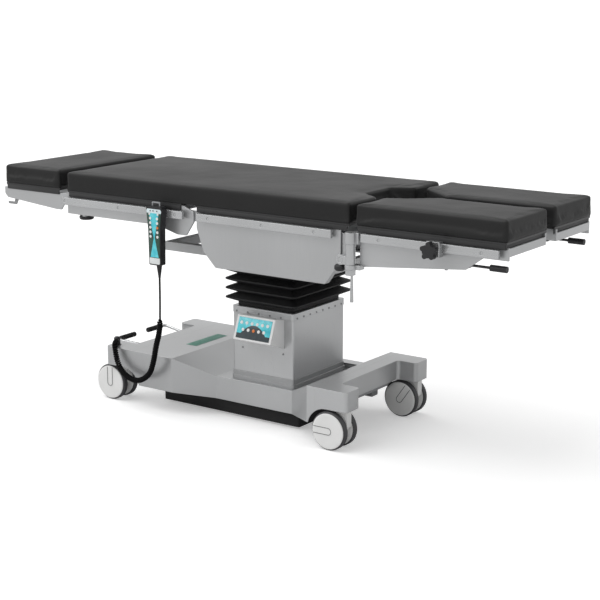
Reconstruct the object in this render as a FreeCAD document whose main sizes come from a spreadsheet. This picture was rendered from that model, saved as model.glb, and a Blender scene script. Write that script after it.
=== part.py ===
import FreeCAD, Part
import math
import os
import Sketcher

# Operating table: castor base, lift column, tilting and sliding top in five padded sections.
# X runs along the table from the head end to the leg ends, Y across it, Z up from the floor.
# The origin lies on the floor under the middle of the table top.

SIZES = [
    # Table top as a whole
    ("half_length", 1000), ("top_height", 795), ("pad_thick", 65), ("board_thick", 6), ("board_inset", 6),
    ("pad_round", 16), ("main_width", 550), ("head_width", 518), ("legs_width", 567), ("legs_gap", 43),
    ("head_pad_length", 271), ("head_gap", 41), ("main_pad_length", 1159), ("leg_gap", 21),
    ("cutout_depth", 67), ("cutout_inner", 138), ("cutout_outer", 224),
    ("leg_cut_length", 137), ("leg_cut_width", 107),
    ("crossbar_width", 24), ("crossbar_height", 18),
    # Side plates and accessory rails
    ("plate_out", 265), ("plate_thick", 6), ("rail_height", 25), ("rail_thick", 10), ("rail_top", 708),
    ("rail_standoff", 12), ("spacer_radius", 8), ("screw_radius", 5), ("screw_sink", 3),
    ("hinge_gap", 0.3), ("fit_gap", 0.05),
    # Back section
    ("back_hinge_x", -150), ("back_hinge_z", 692), ("back_raise", 75), ("fold_gap", 0.6),
    ("back_plate_bottom", 650), ("back_drop_bottom", 627), ("back_drop_start", -290), ("back_drop_run", 88),
    ("back_end_over", 16), ("back_rail_end", -164), ("back_rail_start", -694),
    ("hinge_pin_radius", 9), ("bracket_thick", 8),
    ("lock_knob_radius", 25), ("lock_knob_height", 15), ("lock_knob_x", -640), ("lock_knob_y", 224),
    ("lock_flange_low", 644), ("lock_flange_thick", 6), ("lock_screw_radius", 5),
    # Head section
    ("head_plate_out", 250), ("head_plate_start", -1006), ("head_hinge_z", 705),
    ("head_plate_top", 714), ("head_plate_low", 677), ("head_hinge_low", 656), ("head_ear_radius", 13),
    ("head_pin_radius", 7),
    ("head_lever_x", -952), ("head_lever_length", 46),
    # Seat section and its side covers
    ("cover_face", 268), ("cover_sheet", 3), ("cover_start", -119), ("cover_end", 436), ("cover_top", 706),
    ("cover_bottom", 535), ("cover_step_z", 657), ("cover_flange", 22),
    ("seat_rail_start", -107), ("seat_rail_end", 412),
    ("runner_low_gap", 0.3), ("runner_in", 156), ("runner_out", 188), ("runner_height", 26),
    ("runner_start", -105), ("runner_end", 415), ("post_width", 20),
    # Leg sections
    ("leg_plate_out", 268), ("leg_plate_start", 505), ("leg_plate_end", 997), ("leg_plate_low", 604),
    ("leg_plate_low_mid", 637), ("leg_mid_x", 862), ("leg_plate_low_end", 677), ("leg_step_x", 917),
    ("leg_plate_top", 714), ("leg_inner_plate", 34), ("leg_rail_start", 520), ("leg_rail_end", 976),
    ("leg_end_top", 712), ("leg_end_low", 688), ("leg_end_thick", 5),
    ("leg_hinge_x", 484), ("leg_hinge_y", 287), ("barrel_radius", 18), ("post_radius", 15), ("leg_pin_radius", 9),
    ("barrel_low", 675), ("barrel_height", 34), ("post_low", 611), ("foot_barrel_low", 597),
    ("lock_block_low", 579), ("lock_block_size", 24), ("lock_handle_low", 497), ("lock_handle_radius", 5.5),
    ("tilt_pivot_x", 454), ("tilt_pivot_z", 624), ("tilt_pin_radius", 8), ("yoke_hub_radius", 15.5),
    ("yoke_in", 276), ("leg_knob_x", 446), ("leg_knob_radius", 17), ("leg_knob_height", 19),
    ("lever_start", 866), ("lever_grip_start", 936), ("lever_end", 988), ("lever_z", 650),
    ("lever_rod_radius", 4), ("lever_grip_radius", 9.5), ("lever_hub_radius", 9),
    # Clamp on the near leg rail
    ("clamp_x", 770), ("clamp_width", 44), ("clamp_wall", 9), ("clamp_gap", 0.4), ("clamp_low", 669),
    ("clamp_top", 713), ("clamp_knob_radius", 27), ("clamp_knob_thick", 17), ("clamp_screw_radius", 6),
    ("clamp_knob_gap", 10), ("lobe_radius", 7.5),
    # Slide carriage and tilt cross
    ("pivot_x", 54), ("pivot_z", 612), ("beam_in", 150), ("beam_out", 180), ("beam_low", 549), ("beam_high", 578),
    ("beam_start", -330), ("beam_end", 360), ("lug_in", 58), ("lug_out", 78), ("lug_radius", 26),
    ("gusset_low", 588), ("gusset_high", 600), ("gusset_half", 58), ("web_in", 142),
    ("cross_half", 55), ("cross_height", 52), ("shaft_radius", 15), ("lift_lug_in", 58), ("lift_lug_out", 80),
    # Lift column, its guide and the bellows
    ("ram_half", 70), ("ram_wall", 10), ("ram_low", 155), ("ram_gap", 0.3), ("guide_wall", 8), ("guide_low", 72),
    ("guide_top", 384), ("head_plate_z", 526), ("head_plate_thick", 14), ("head_plate_half", 100),
    ("bellows_valley_x", 113), ("bellows_valley_y", 139), ("bellows_fold", 32), ("bellows_hole_x", 104),
    ("bellows_hole_y", 130), ("bellows_low", 401), ("bellows_pitch", 31.25),
    # Column cover and console
    ("column_half_x", 122), ("column_half_y", 148), ("column_top", 388), ("column_sheet", 2.5),
    ("column_round", 7), ("band_low", 366), ("band_proud", 2), ("trim_low", 6), ("trim_low_height", 14), ("trim_high", 3), ("trim_high_height", 30),
    ("band_screw_pitch", 44.8), ("band_screw_z", 371.5), ("end_screw_pitch", 36.5), ("face_screw_z", 250),
    ("face_screw_half", 82), ("small_screw_radius", 3.2), ("screw_proud", 1.2),
    ("console_start", -10), ("console_end", 140), ("console_low", 269), ("console_high", 365.5),
    ("console_front_top", 374), ("console_front_low", 297), ("console_top_y", 196), ("console_low_y", 224),
    ("panel_margin", 5), ("panel_thick", 1.5),
    # Base cover
    ("base_head", -552), ("base_foot", 449), ("head_half", 243), ("foot_half", 250), ("waist_half", 167),
    ("deck_high", 196), ("deck_low", 139), ("skirt_low", 77), ("waist_low", 61), ("notch_x", -480),
    ("notch_half", 160), ("foot_notch_x", 376), ("foot_notch_half", 172), ("head_slope_x", -255),
    ("waist_start", -126), ("waist_end", 184), ("foot_slope_x", 300), ("cover_wall", 3), ("pocket_high", 131),
    ("pocket_radius", 70), ("pocket_setback", 78), ("base_round", 14),
    ("side_box_start", 60), ("side_box_end", 229), ("side_box_half", 208), ("side_box_top", 156),
    ("side_box_low", 80),
    # Chassis and under tray
    ("spine_in", 86), ("spine_out", 122), ("tray_start", -381), ("tray_end", 192),
    ("tray_half", 138), ("tray_low", 9), ("tray_wall", 4),
    ("mount_plate_gap", 3), ("mount_plate_thick", 14),
    # Castors
    ("castor_inset", 34), ("castor_head_y", 188), ("castor_foot_y", 216), ("castor_trail", 32),
    ("wheel_radius", 62.5), ("wheel_width", 22), ("wheel_offset", 27), ("disc_radius", 53), ("disc_proud", 1.5),
    ("axle_radius", 6), ("web_half", 13), ("web_clear", 1.5), ("stem_radius", 11), ("ring_radius", 21),
    ("housing_top", 127),
    # Brake pedals
    ("pedal_pivot_x", -494), ("pedal_pivot_z", 178), ("pedal_pivot_y", 110), ("pedal_reach", 108), ("pedal_rod", 5),
    ("pedal_rise", 9), ("pedal_bend", 14), ("pedal_hub_radius", 9),
    ("pedal_hub_half", 7), ("pedal_pin_radius", 4), ("ear_thick", 4), ("grip_end_gap", 2), ("grip_length", 76),
    # Hand control, cord and boot
    ("pendant_face", 314), ("pendant_back", 289), ("pendant_x", -259), ("pendant_top", 720), ("pendant_low", 526),
    ("pendant_top_half", 33), ("pendant_waist_half", 26), ("pendant_low_half", 24), ("pendant_waist_z", 645),
    ("pendant_round", 4), ("keypad_thick", 0.8), ("keypad_margin", 4), ("hook_width", 34), ("hook_thick", 1.6),
    ("hook_drop", 8), ("relief_low", 482), ("relief_radius", 9.5), ("relief_end_radius", 3.5),
    ("cord_radius", 2.75), ("coil_radius", 9),
    # Clearances, bevels and small sizes of single pieces
    ("chassis_gap", 3.5), ("spine_low", 82), ("spine_start", -430), ("spine_end", 330), ("flare_gap", 8),
    ("cross_tube", 24), ("deck_hole_gap", 7), ("tray_round", 8), ("tray_rim", 12), ("lid_gap", 1.5),
    ("band_screw_shift", 15), ("key_proud", 0.8), ("web_back", 30), ("web_front", 22), ("web_knee", 14),
    ("hub_reach", 24), ("web_foot", 22), ("web_round", 6), ("tyre_edge", 4), ("disc_rim", 5),
    ("pedal_end_y", 130), ("grip_inner", 35), ("grip_radius", 8.3), ("grip_rib", 2), ("grip_rib_proud", 0.7),
    ("lift_lug_cap", 26), ("lift_lug_foot", 35), ("lift_lug_top", 24), ("lift_lug_round", 14), ("bellows_flange", 5),
    ("bellows_seat", 12), ("cross_round", 6), ("tie_width", 24), ("beam_wall", 5), ("bracket_reach", 40),
    ("yoke_width", 22), ("leg_pivot_thick", 12), ("plate_round", 3), ("cover_sweep", 26),
    ("cover_sweep_rise", 49), ("cover_lead", 75), ("cover_tail", 57), ("cover_kick", 12), ("cover_kick_rise", 62),
    ("cover_lift", 9), ("cover_corner", 8), ("cover_flange_rise", 55), ("seat_screw_first", 48),
    ("seat_screw_last", 62), ("back_screw_first", 13), ("back_screw_last", 31), ("leg_screw_first", 62),
    ("leg_screw_last", 54), ("screw_bevel", 1), ("back_bar_back", 36), ("flange_clear", 2), ("head_bevel", 13),
    ("head_throat", 26), ("lever_plate", 5), ("head_lever_pin", 4), ("head_lever_rise", 7), ("yoke_arm", 26),
    ("foot_pin_clear", 7), ("knob_screw_radius", 5), ("knob_screw_reach", 6), ("leg_foot_arm", 12),
    ("lock_handle_shift", 5), ("lock_handle_neck", 1), ("clamp_round", 3), ("pendant_shoulder", 6),
    ("bow_height", 14), ("cord_x", -251), ("keypad_foot", 22), ("keypad_head", 20), ("key_spread", 9),
    ("key_half", 5.5), ("socket_reach", 16), ("socket_radius", 11), ("socket_nozzle", 9.5), ("socket_crown", 4),
]

doc = FreeCAD.newDocument("operating_table")
sheet = doc.addObject("Spreadsheet::Sheet", "dims")
for row, (alias, amount) in enumerate(SIZES, start=1):
    sheet.set(f"A{row}", alias)
    sheet.set(f"B{row}", str(amount))
    sheet.setAlias(f"B{row}", alias)
doc.recompute()


class Size:
    """A length known both as a number and as the sheet expression that gives it."""

    def __init__(self, number, text):
        self.number = float(number)
        self.text = text

    def __add__(self, other):
        other = size(other)
        return Size(self.number + other.number, f"({self.text} + {other.text})")

    def __sub__(self, other):
        other = size(other)
        return Size(self.number - other.number, f"({self.text} - {other.text})")

    def __mul__(self, other):
        other = size(other)
        return Size(self.number * other.number, f"({self.text} * {other.text})")

    def __truediv__(self, other):
        other = size(other)
        return Size(self.number / other.number, f"({self.text} / {other.text})")

    def __neg__(self):
        return Size(-self.number, f"(0 - {self.text})")

    def __radd__(self, other):
        return size(other) + self

    def __rsub__(self, other):
        return size(other) - self

    def __rmul__(self, other):
        return size(other) * self


def size(amount):
    if isinstance(amount, Size):
        return amount
    return Size(amount, f"({float(amount)})")


def tangent(angle):
    return Size(math.tan(math.radians(angle.number)), f"tan({angle.text})")


class Dims:
    """Every driving dimension by its alias."""

    def __init__(self):
        for alias, amount in SIZES:
            setattr(self, alias, Size(amount, f"dims.{alias}"))


d = Dims()
nodes = {}
SIDES = (("near", -1), ("far", 1))
TURNS = {
    "X": FreeCAD.Rotation(FreeCAD.Vector(0, 1, 0), 90),
    "Y": FreeCAD.Rotation(FreeCAD.Vector(1, 0, 0), -90),
    "Z": FreeCAD.Rotation(),
}
# Which way each origin plane's normal points along its axis
NORMALS = {"XY": 1, "XZ": -1, "YZ": 1}


# Section: general solids


def place(thing, axis, point):
    """Turns a solid's own Z to the axis and puts its origin at the point."""
    thing.Placement = FreeCAD.Placement(FreeCAD.Vector(), TURNS[axis])
    for letter, amount in zip("xyz", point):
        thing.setExpression(f"Placement.Base.{letter}", size(amount).text)
    return thing


def across(side, inner, outer):
    """The Y span between two distances from the middle, on one side of the table."""
    if side < 0:
        return (-size(outer), -size(inner))
    return (size(inner), size(outer))


def about(middle, half):
    return (size(middle) - half, size(middle) + half)


def block(x, y, z):
    thing = doc.addObject("Part::Box", "block")
    for prop, (low, high) in zip(("Length", "Width", "Height"), (x, y, z)):
        thing.setExpression(prop, (size(high) - low).text)
    return place(thing, "Z", (x[0], y[0], z[0]))


def bar_point(axis, centre, start):
    first, second = centre
    return {"X": (start, first, second), "Y": (first, start, second), "Z": (first, second, start)}[axis]


def bar(axis, centre, radius, span):
    """A round bar; centre holds its two coordinates across the axis, in X, Y, Z order."""
    thing = doc.addObject("Part::Cylinder", "bar")
    thing.setExpression("Radius", size(radius).text)
    thing.setExpression("Height", (size(span[1]) - span[0]).text)
    return place(thing, axis, bar_point(axis, centre, span[0]))


def cone(axis, centre, radii, span):
    thing = doc.addObject("Part::Cone", "cone")
    thing.setExpression("Radius1", size(radii[0]).text)
    thing.setExpression("Radius2", size(radii[1]).text)
    thing.setExpression("Height", (size(span[1]) - span[0]).text)
    return place(thing, axis, bar_point(axis, centre, span[0]))


def fuse(*parts):
    thing = doc.addObject("Part::MultiFuse", "joined")
    thing.Shapes = list(parts)
    thing.Refine = True
    return thing


def cut(base, *tools):
    thing = doc.addObject("Part::Cut", "cut")
    thing.Base = base
    thing.Tool = tools[0] if len(tools) == 1 else fuse(*tools)
    thing.Refine = True
    return thing


def common(base, tool):
    thing = doc.addObject("Part::Common", "common")
    thing.Base = base
    thing.Tool = tool
    return thing


def group(*parts):
    """Separate solids of one sub-part."""
    thing = doc.addObject("Part::Compound", "group")
    thing.Links = list(parts)
    return thing


class Piece:
    """A PartDesign body that grows by sketched features."""

    def __init__(self):
        self.body = doc.addObject("PartDesign::Body", "piece")
        self.feature = None

    def sketch(self, plane, outline, level):
        origin = next(f for f in self.body.Origin.OriginFeatures if f.Role == f"{plane}_Plane")
        sketch = self.body.newObject("Sketcher::SketchObject", "outline")
        sketch.AttachmentSupport = [(origin, "")]
        sketch.MapMode = "FlatFace"
        sketch.setExpression("AttachmentOffset.Base.z", (size(level) * NORMALS[plane]).text)
        corners = [(size(first), size(second)) for first, second in outline]
        points = [FreeCAD.Vector(first.number, second.number, 0) for first, second in corners]
        for number, point in enumerate(points):
            following = points[(number + 1) % len(points)]
            sketch.addGeometry(Part.LineSegment(point, following), False)
        for number in range(len(points)):
            following = (number + 1) % len(points)
            sketch.addConstraint(Sketcher.Constraint("Coincident", number, 2, following, 1))
        for number, corner in enumerate(corners):
            for kind, amount in zip(("DistanceX", "DistanceY"), corner):
                rule = Sketcher.Constraint(kind, -1, 1, number, 1, amount.number)
                index = sketch.addConstraint(rule)
                sketch.setExpression(f"Constraints[{index}]", amount.text)
        return sketch

    def add(self, kind, sketch, length):
        self.feature = self.body.newObject(f"PartDesign::{kind}", kind.lower())
        self.feature.Profile = sketch
        self.feature.setExpression("Length", length.text)
        sketch.Visibility = False

    def pad(self, plane, outline, span):
        low, high = span
        level = low if NORMALS[plane] > 0 else high
        self.add("Pad", self.sketch(plane, outline, level), size(high) - low)
        return self

    def pocket(self, plane, outline, span):
        low, high = span
        level = high if NORMALS[plane] > 0 else low
        self.add("Pocket", self.sketch(plane, outline, level), size(high) - low)
        return self

    def turn(self, outline):
        """A turned solid: each point is a radius and a height along the body's Z."""
        sketch = self.sketch("XZ", outline, 0)
        self.feature = self.body.newObject("PartDesign::Revolution", "revolution")
        self.feature.Profile = sketch
        self.feature.ReferenceAxis = (sketch, ["V_Axis"])
        self.feature.Angle = 360
        return self

    def round(self, radius, axis, where=None):
        """Rounds the straight edges along an axis whose middle passes the test."""
        doc.recompute()
        names = []
        for number, edge in enumerate(self.feature.Shape.Edges, start=1):
            if not isinstance(edge.Curve, Part.Line):
                continue
            slope = edge.tangentAt(edge.FirstParameter)
            if abs(getattr(slope, axis.lower())) < PARALLEL:
                continue
            if where is None or where(edge.CenterOfMass):
                names.append(f"Edge{number}")
        fillet = self.body.newObject("PartDesign::Fillet", "fillet")
        fillet.Base = (self.feature, names)
        fillet.setExpression("Radius", size(radius).text)
        self.feature = fillet
        return self


PARALLEL = 0.999


def prism(plane, outline, span):
    return Piece().pad(plane, outline, span).body


def turned(outline, axis, point):
    return place(Piece().turn(outline).body, axis, point)


def rectangle(first, second):
    return [(first[0], second[0]), (first[1], second[0]), (first[1], second[1]), (first[0], second[1])]


def route(points, text, bend=None):
    """The centre line of a bent tube: straight runs joined by tangent arcs of one radius, or as large as fit."""
    points = [FreeCAD.Vector(*point) for point in points]
    edges = []
    radii = []
    start = points[0]
    for before, corner, after in zip(points, points[1:], points[2:]):
        arriving = (corner - before).normalize()
        leaving = (after - corner).normalize()
        half_turn = arriving.getAngle(leaving) / 2
        reach = BEND_SHARE * min((corner - before).Length, (after - corner).Length)
        if bend is not None:
            reach = bend * math.tan(half_turn)
        radius = reach / math.tan(half_turn)
        bend_start = corner - arriving * reach
        bend_end = corner + leaving * reach
        inward = (leaving - arriving).normalize()
        middle = corner + inward * (radius / math.cos(half_turn) - radius)
        edges.append(Part.LineSegment(start, bend_start).toShape())
        edges.append(Part.Arc(bend_start, middle, bend_end).toShape())
        radii.append(round(radius, 1))
        start = bend_end
    edges.append(Part.LineSegment(start, points[-1]).toShape())
    print(text, "bend radii", radii)
    return Part.Wire(edges)


BEND_SHARE = 0.45
LENGTH_SLACK = 0.002


def tube(points, radius, text, bend=None):
    """A round tube along a bent route, as a feature of its own."""
    path = route(points, text, bend)
    first, second = (FreeCAD.Vector(*point) for point in points[:2])
    ring = Part.Wire([Part.makeCircle(radius.number, first, second - first)])
    solid = path.makePipeShell([ring], True, True)
    expected = math.pi * radius.number ** 2 * path.Length
    if abs(solid.Volume - expected) > LENGTH_SLACK * expected:
        raise ValueError(f"{text}: the tube's volume does not match its length")
    thing = doc.addObject("Part::Feature", "tube")
    thing.Shape = solid
    return thing


# Section: places that several sub-parts share


pad_low = d.top_height - d.pad_thick
board_low = pad_low - d.board_thick
crossbar_low = board_low - d.crossbar_height
head_start = -d.half_length
head_pad_end = head_start + d.head_pad_length
main_start = head_pad_end + d.head_gap
main_end = main_start + d.main_pad_length
leg_start = main_end + d.leg_gap
main_half = d.main_width / 2
plate_in = d.plate_out - d.plate_thick
head_hinge_x = main_start - d.head_gap / 2
rail_in = d.plate_out + d.rail_standoff
rail_out = rail_in + d.rail_thick
rail_low = d.rail_top - d.rail_height
screw_z = rail_low + d.rail_height / 2


def fold(height):
    """How far from the back hinge the pads end at a height, so that they meet when folded."""
    return (size(height) - d.back_hinge_z) * tangent(d.back_raise / 2)


def crossbar(x, half):
    return block(about(x, d.crossbar_width / 2), (-size(half), half), (crossbar_low, board_low))


def accessory_rail(side, x, inner, screws, plate):
    """A side rail on spacers, with a sunk screw at each."""
    outer = inner + d.rail_thick
    span = across(side, inner, outer)
    parts = [block(x, span, (rail_low, d.rail_top))]
    holes = []
    heads = []
    for place_x in screws:
        parts.append(bar("Y", (place_x, screw_z), d.spacer_radius, across(side, plate, inner)))
        holes.append(bar("Y", (place_x, screw_z), d.screw_radius, across(side, outer - d.screw_sink, outer)))
        heads.append(cone("Y", (place_x, screw_z), (d.screw_radius, d.screw_radius - d.screw_bevel)[::side],
                          across(side, outer - d.screw_sink, outer - d.screw_bevel)))
    return fuse(cut(fuse(*parts), *holes), *heads)


# Section: base: cover, chassis, tray and column cover


def cover_plan(wall):
    """The base cover from above, drawn in by a wall."""
    half = [
        (d.base_head + wall, d.head_half - wall), (d.head_slope_x, d.head_half - wall),
        (d.waist_start, d.waist_half - wall), (d.waist_end, d.waist_half - wall),
        (d.foot_slope_x, d.foot_half - wall), (d.base_foot - wall, d.foot_half - wall),
        (d.base_foot - wall, d.foot_notch_half + wall), (d.foot_notch_x - wall, d.foot_notch_half + wall),
    ]
    notch = [(d.notch_x + wall, d.notch_half + wall), (d.base_head + wall, d.notch_half + wall)]
    near = [(x, -y) for x, y in half]
    return near + half[::-1] + notch[::-1] + [(x, -y) for x, y in notch]


def cover_profile(wall, low, low_end):
    """The base cover from the side: high deck, slope, low deck, slope, high crossbeam."""
    high = d.deck_high - wall
    middle = d.deck_low - wall
    return [
        (d.base_head, low_end), (d.base_head, high), (d.head_slope_x, high), (d.waist_start, middle),
        (d.waist_end, middle), (d.foot_slope_x, high), (d.base_foot, high), (d.base_foot, low_end),
        (d.foot_slope_x, low_end), (d.waist_end, low), (d.waist_start, low), (d.head_slope_x, low_end),
    ]


def cover_form(wall, low, low_end):
    plan = Piece().pad("XY", cover_plan(wall), (low - d.cover_wall, d.deck_high))
    plan.round(d.base_round - wall, "Z", lambda p: abs(p.y) > d.notch_half.number - 1)
    across_all = (-d.foot_half, d.foot_half)
    return common(plan.body, prism("XZ", cover_profile(wall, low, low_end), across_all))


def castor_pocket(end_x, inward):
    """The clearance over a pair of castors, with a quarter round towards the middle of the base."""
    edge = end_x + inward * d.pocket_setback
    span = (edge, end_x + d.castor_trail) if inward < 0 else (end_x - d.castor_trail, edge)
    centre_z = d.pocket_high - d.pocket_radius
    wide = (-d.foot_half, d.foot_half)
    opening = block(span, wide, (centre_z - d.pocket_radius, d.pocket_high))
    return fuse(opening, bar("Y", (edge, centre_z), d.pocket_radius, wide))


def pedal_ears(side):
    parts = []
    for offset in (-d.pedal_hub_half - d.hinge_gap - d.ear_thick, d.pedal_hub_half + d.hinge_gap):
        low = d.pedal_pivot_y + offset
        span = across(side, low, low + d.ear_thick)
        x = (d.pedal_pivot_x, d.notch_x)
        parts.append(block(x, span, about(d.pedal_pivot_z, d.pedal_hub_radius)))
        parts.append(bar("Y", (d.pedal_pivot_x, d.pedal_pivot_z), d.pedal_hub_radius, span))
    reach = d.pedal_hub_half + d.hinge_gap + d.ear_thick
    span = across(side, d.pedal_pivot_y - reach, d.pedal_pivot_y + reach)
    parts.append(bar("Y", (d.pedal_pivot_x, d.pedal_pivot_z), d.pedal_pin_radius, span))
    return parts


def base_cover():
    """The pressed cover in three lengths, which meet over the ends of the spines."""
    outer = cover_form(size(0), d.waist_low, d.skirt_low)
    inner_low = d.waist_low - d.pocket_radius
    inner = cover_form(d.cover_wall, inner_low, inner_low)
    hole = d.ram_half + d.ram_gap + d.guide_wall + d.deck_hole_gap
    deck_hole = block(about(d.pivot_x, hole), (-hole, hole), (d.deck_low - d.pocket_radius, d.deck_high))
    shell = cut(outer, inner, deck_hole, castor_pocket(d.base_foot, -1), castor_pocket(d.base_head, 1))
    box_x = (d.side_box_start, d.side_box_end)
    side_box = block(box_x, (d.waist_half, d.side_box_half), (d.side_box_low, d.side_box_top))
    wall = d.cover_wall
    hollow_x = (d.side_box_start + wall, d.side_box_end - wall)
    hollow = block(hollow_x, (d.waist_half, d.side_box_half - wall), (d.side_box_low, d.side_box_top - wall))
    side_box = cut(side_box, hollow)
    ears = pedal_ears(-1) + pedal_ears(1)
    whole = fuse(shell, side_box, *ears)
    across_all = (-d.foot_half, d.foot_half)
    joints = (d.base_head, d.spine_start, d.spine_end, d.base_foot)
    lengths = []
    for start, end in zip(joints, joints[1:]):
        lengths.append(common(whole, block((start, end), across_all, (size(0), d.deck_high))))
    return group(*lengths)


nodes["base_cover"] = base_cover()

mount_low = d.pocket_high + d.mount_plate_gap
mount_high = mount_low + d.mount_plate_thick
castor_head_x = d.base_head + d.castor_inset
castor_foot_x = d.base_foot - d.castor_inset
guide_half = d.ram_half + d.ram_gap
spine_high = d.deck_low - d.cover_wall
tray_high = d.spine_low


def castor_places():
    """Castor number, pivot X and signed pivot Y: near head, far head, near foot, far foot."""
    places = []
    for pivot_x, pivot_y in ((castor_head_x, d.castor_head_y), (castor_foot_x, d.castor_foot_y)):
        places.append((pivot_x, -pivot_y))
        places.append((pivot_x, pivot_y))
    return list(enumerate(places, start=1))


def base_chassis():
    """Two spines joined at the ends, shelves for the castors and the guide tube of the lift column."""
    gap = d.chassis_gap
    head_in = d.notch_x + d.cover_wall + gap
    foot_in = d.foot_notch_x - d.cover_wall - gap
    parts = []
    for side in (-1, 1):
        parts.append(block((d.spine_start, d.spine_end), across(side, d.spine_in, d.spine_out),
                           (d.spine_low, spine_high)))
        shelf_out = d.head_half - d.cover_wall - gap
        wing_in = d.notch_half + d.cover_wall + gap
        parts.append(block((head_in, d.spine_start), across(side, d.spine_in, shelf_out), (mount_low, mount_high)))
        wing_x = (d.base_head + d.cover_wall + gap, head_in)
        parts.append(block(wing_x, across(side, wing_in, shelf_out), (mount_low, mount_high)))
        shelf_out = d.foot_half - d.cover_wall - gap
        wing_in = d.foot_notch_half + d.cover_wall + gap
        foot_shelf = (d.spine_end, foot_in)
        parts.append(block(foot_shelf, across(side, d.spine_in, shelf_out - d.flare_gap), (mount_low, mount_high)))
        wing_x = (foot_in, d.base_foot - d.cover_wall - gap)
        parts.append(block(wing_x, across(side, wing_in, shelf_out), (mount_low, mount_high)))
    wide = (-d.spine_out, d.spine_out)
    tube_low = mount_low - d.mount_plate_thick
    parts.append(block((head_in, d.spine_start + d.cross_tube), wide, (tube_low, mount_high)))
    parts.append(block((d.spine_end - d.cross_tube, foot_in), wide, (tube_low, mount_high)))
    outer = guide_half + d.guide_wall
    saddle = block(about(d.pivot_x, outer), wide, (d.spine_low, spine_high - d.cross_tube / 2))
    parts.append(saddle)
    parts.append(block(about(d.pivot_x, outer), (-outer, outer), (d.guide_low, d.guide_top)))
    frame = fuse(*parts)
    tools = [block(about(d.pivot_x, guide_half), (-guide_half, guide_half), (size(0), d.top_height))]
    for number, (pivot_x, pivot_y) in castor_places():
        tools.append(bar("Z", (pivot_x, pivot_y), d.stem_radius + d.fit_gap, (size(0), d.deck_high)))
    return cut(frame, *tools)


nodes["base_chassis"] = base_chassis()


def base_tray():
    """The black tray under the middle of the base, with a rim that hangs on the spines."""
    outer = Piece().pad("XY", rectangle((d.tray_start, d.tray_end), (-d.tray_half, d.tray_half)),
                        (d.tray_low, tray_high))
    outer.round(d.tray_round, "Z")
    wall = d.tray_wall
    inner_half = d.tray_half - wall
    inner_x = (d.tray_start + wall, d.tray_end - wall)
    cavity = block(inner_x, (-inner_half, inner_half), (d.tray_low + wall, tray_high - wall))
    rim = d.tray_half - d.spine_out + d.tray_rim
    mouth_half = d.tray_half - rim
    mouth = block((d.tray_start + rim, d.tray_end - rim), (-mouth_half, mouth_half), (d.tray_low + wall, tray_high))
    return cut(outer.body, cavity, mouth)


nodes["base_tray"] = base_tray()


def column_cover():
    """Sheet steel cover with a lid and a band of doubled sheet round the top."""
    half_x = d.column_half_x
    half_y = d.column_half_y
    plan = rectangle(about(d.pivot_x, half_x), (-half_y, half_y))
    body = Piece().pad("XY", plan, (d.deck_low, d.column_top)).round(d.column_round, "Z").body
    proud_x = half_x + d.band_proud
    proud_y = half_y + d.band_proud
    plan = rectangle(about(d.pivot_x, proud_x), (-proud_y, proud_y))
    band = Piece().pad("XY", plan, (d.band_low, d.column_top)).round(d.column_round + d.band_proud, "Z").body
    sheet_in = d.column_sheet
    inner_y = half_y - sheet_in
    plan = rectangle(about(d.pivot_x, half_x - sheet_in), (-inner_y, inner_y))
    hollow = Piece().pad("XY", plan, (d.deck_low, d.column_top - sheet_in))
    hollow.round(d.column_round - sheet_in, "Z")
    hole = guide_half + d.guide_wall + d.lid_gap
    mouth = block(about(d.pivot_x, hole), (-hole, hole), (d.band_low, d.column_top))
    return cut(fuse(body, band), hollow.body, mouth)


nodes["column_cover"] = column_cover()


def column_foot_trim():
    """Two dark steps round the foot of the column cover."""
    steps = []
    for proud, height in ((d.trim_low, d.trim_low_height), (d.trim_high, d.trim_high_height)):
        out_y = d.column_half_y + proud
        plan = rectangle(about(d.pivot_x, d.column_half_x + proud), (-out_y, out_y))
        top = d.deck_low + height
        steps.append(Piece().pad("XY", plan, (d.deck_low, top)).round(d.column_round + proud, "Z").body)
    plan = rectangle(about(d.pivot_x, d.column_half_x), (-d.column_half_y, d.column_half_y))
    inner = Piece().pad("XY", plan, (d.deck_low, d.deck_low + d.trim_high_height)).round(d.column_round, "Z").body
    return cut(fuse(*steps), inner)


nodes["column_foot_trim"] = column_foot_trim()


def column_screws():
    """Low button heads along the band and one pair on the near face."""
    heads = []
    band_y = d.column_half_y + d.band_proud
    for number in range(5):
        x = d.pivot_x + d.band_screw_pitch * (number - 2) - d.band_screw_shift
        for side in (-1, 1):
            span = across(side, band_y, band_y + d.screw_proud)
            heads.append(bar("Y", (x, d.band_screw_z), d.small_screw_radius, span))
    end_x = d.pivot_x + d.column_half_x + d.band_proud
    back_x = d.pivot_x - d.column_half_x - d.band_proud
    for number in range(8):
        y = d.end_screw_pitch * (number - 3.5)
        heads.append(bar("X", (y, d.band_screw_z), d.small_screw_radius, (end_x, end_x + d.screw_proud)))
        heads.append(bar("X", (y, d.band_screw_z), d.small_screw_radius, (back_x - d.screw_proud, back_x)))
    for sign in (-1, 1):
        x = d.pivot_x + d.face_screw_half * sign
        span = across(-1, d.column_half_y, d.column_half_y + d.screw_proud)
        heads.append(bar("Y", (x, d.face_screw_z), d.small_screw_radius, span))
    return group(*heads)


nodes["column_screws"] = column_screws()


def console_housing():
    """The control console on the near face of the column: a sloping front over an undercut."""
    outline = [
        (-d.column_half_y, d.console_high), (-d.console_top_y, d.console_front_top),
        (-d.console_low_y, d.console_front_low), (-d.column_half_y, d.console_low),
    ]
    return prism("YZ", outline, (d.console_start, d.console_end))


nodes["console_housing"] = console_housing()


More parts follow.
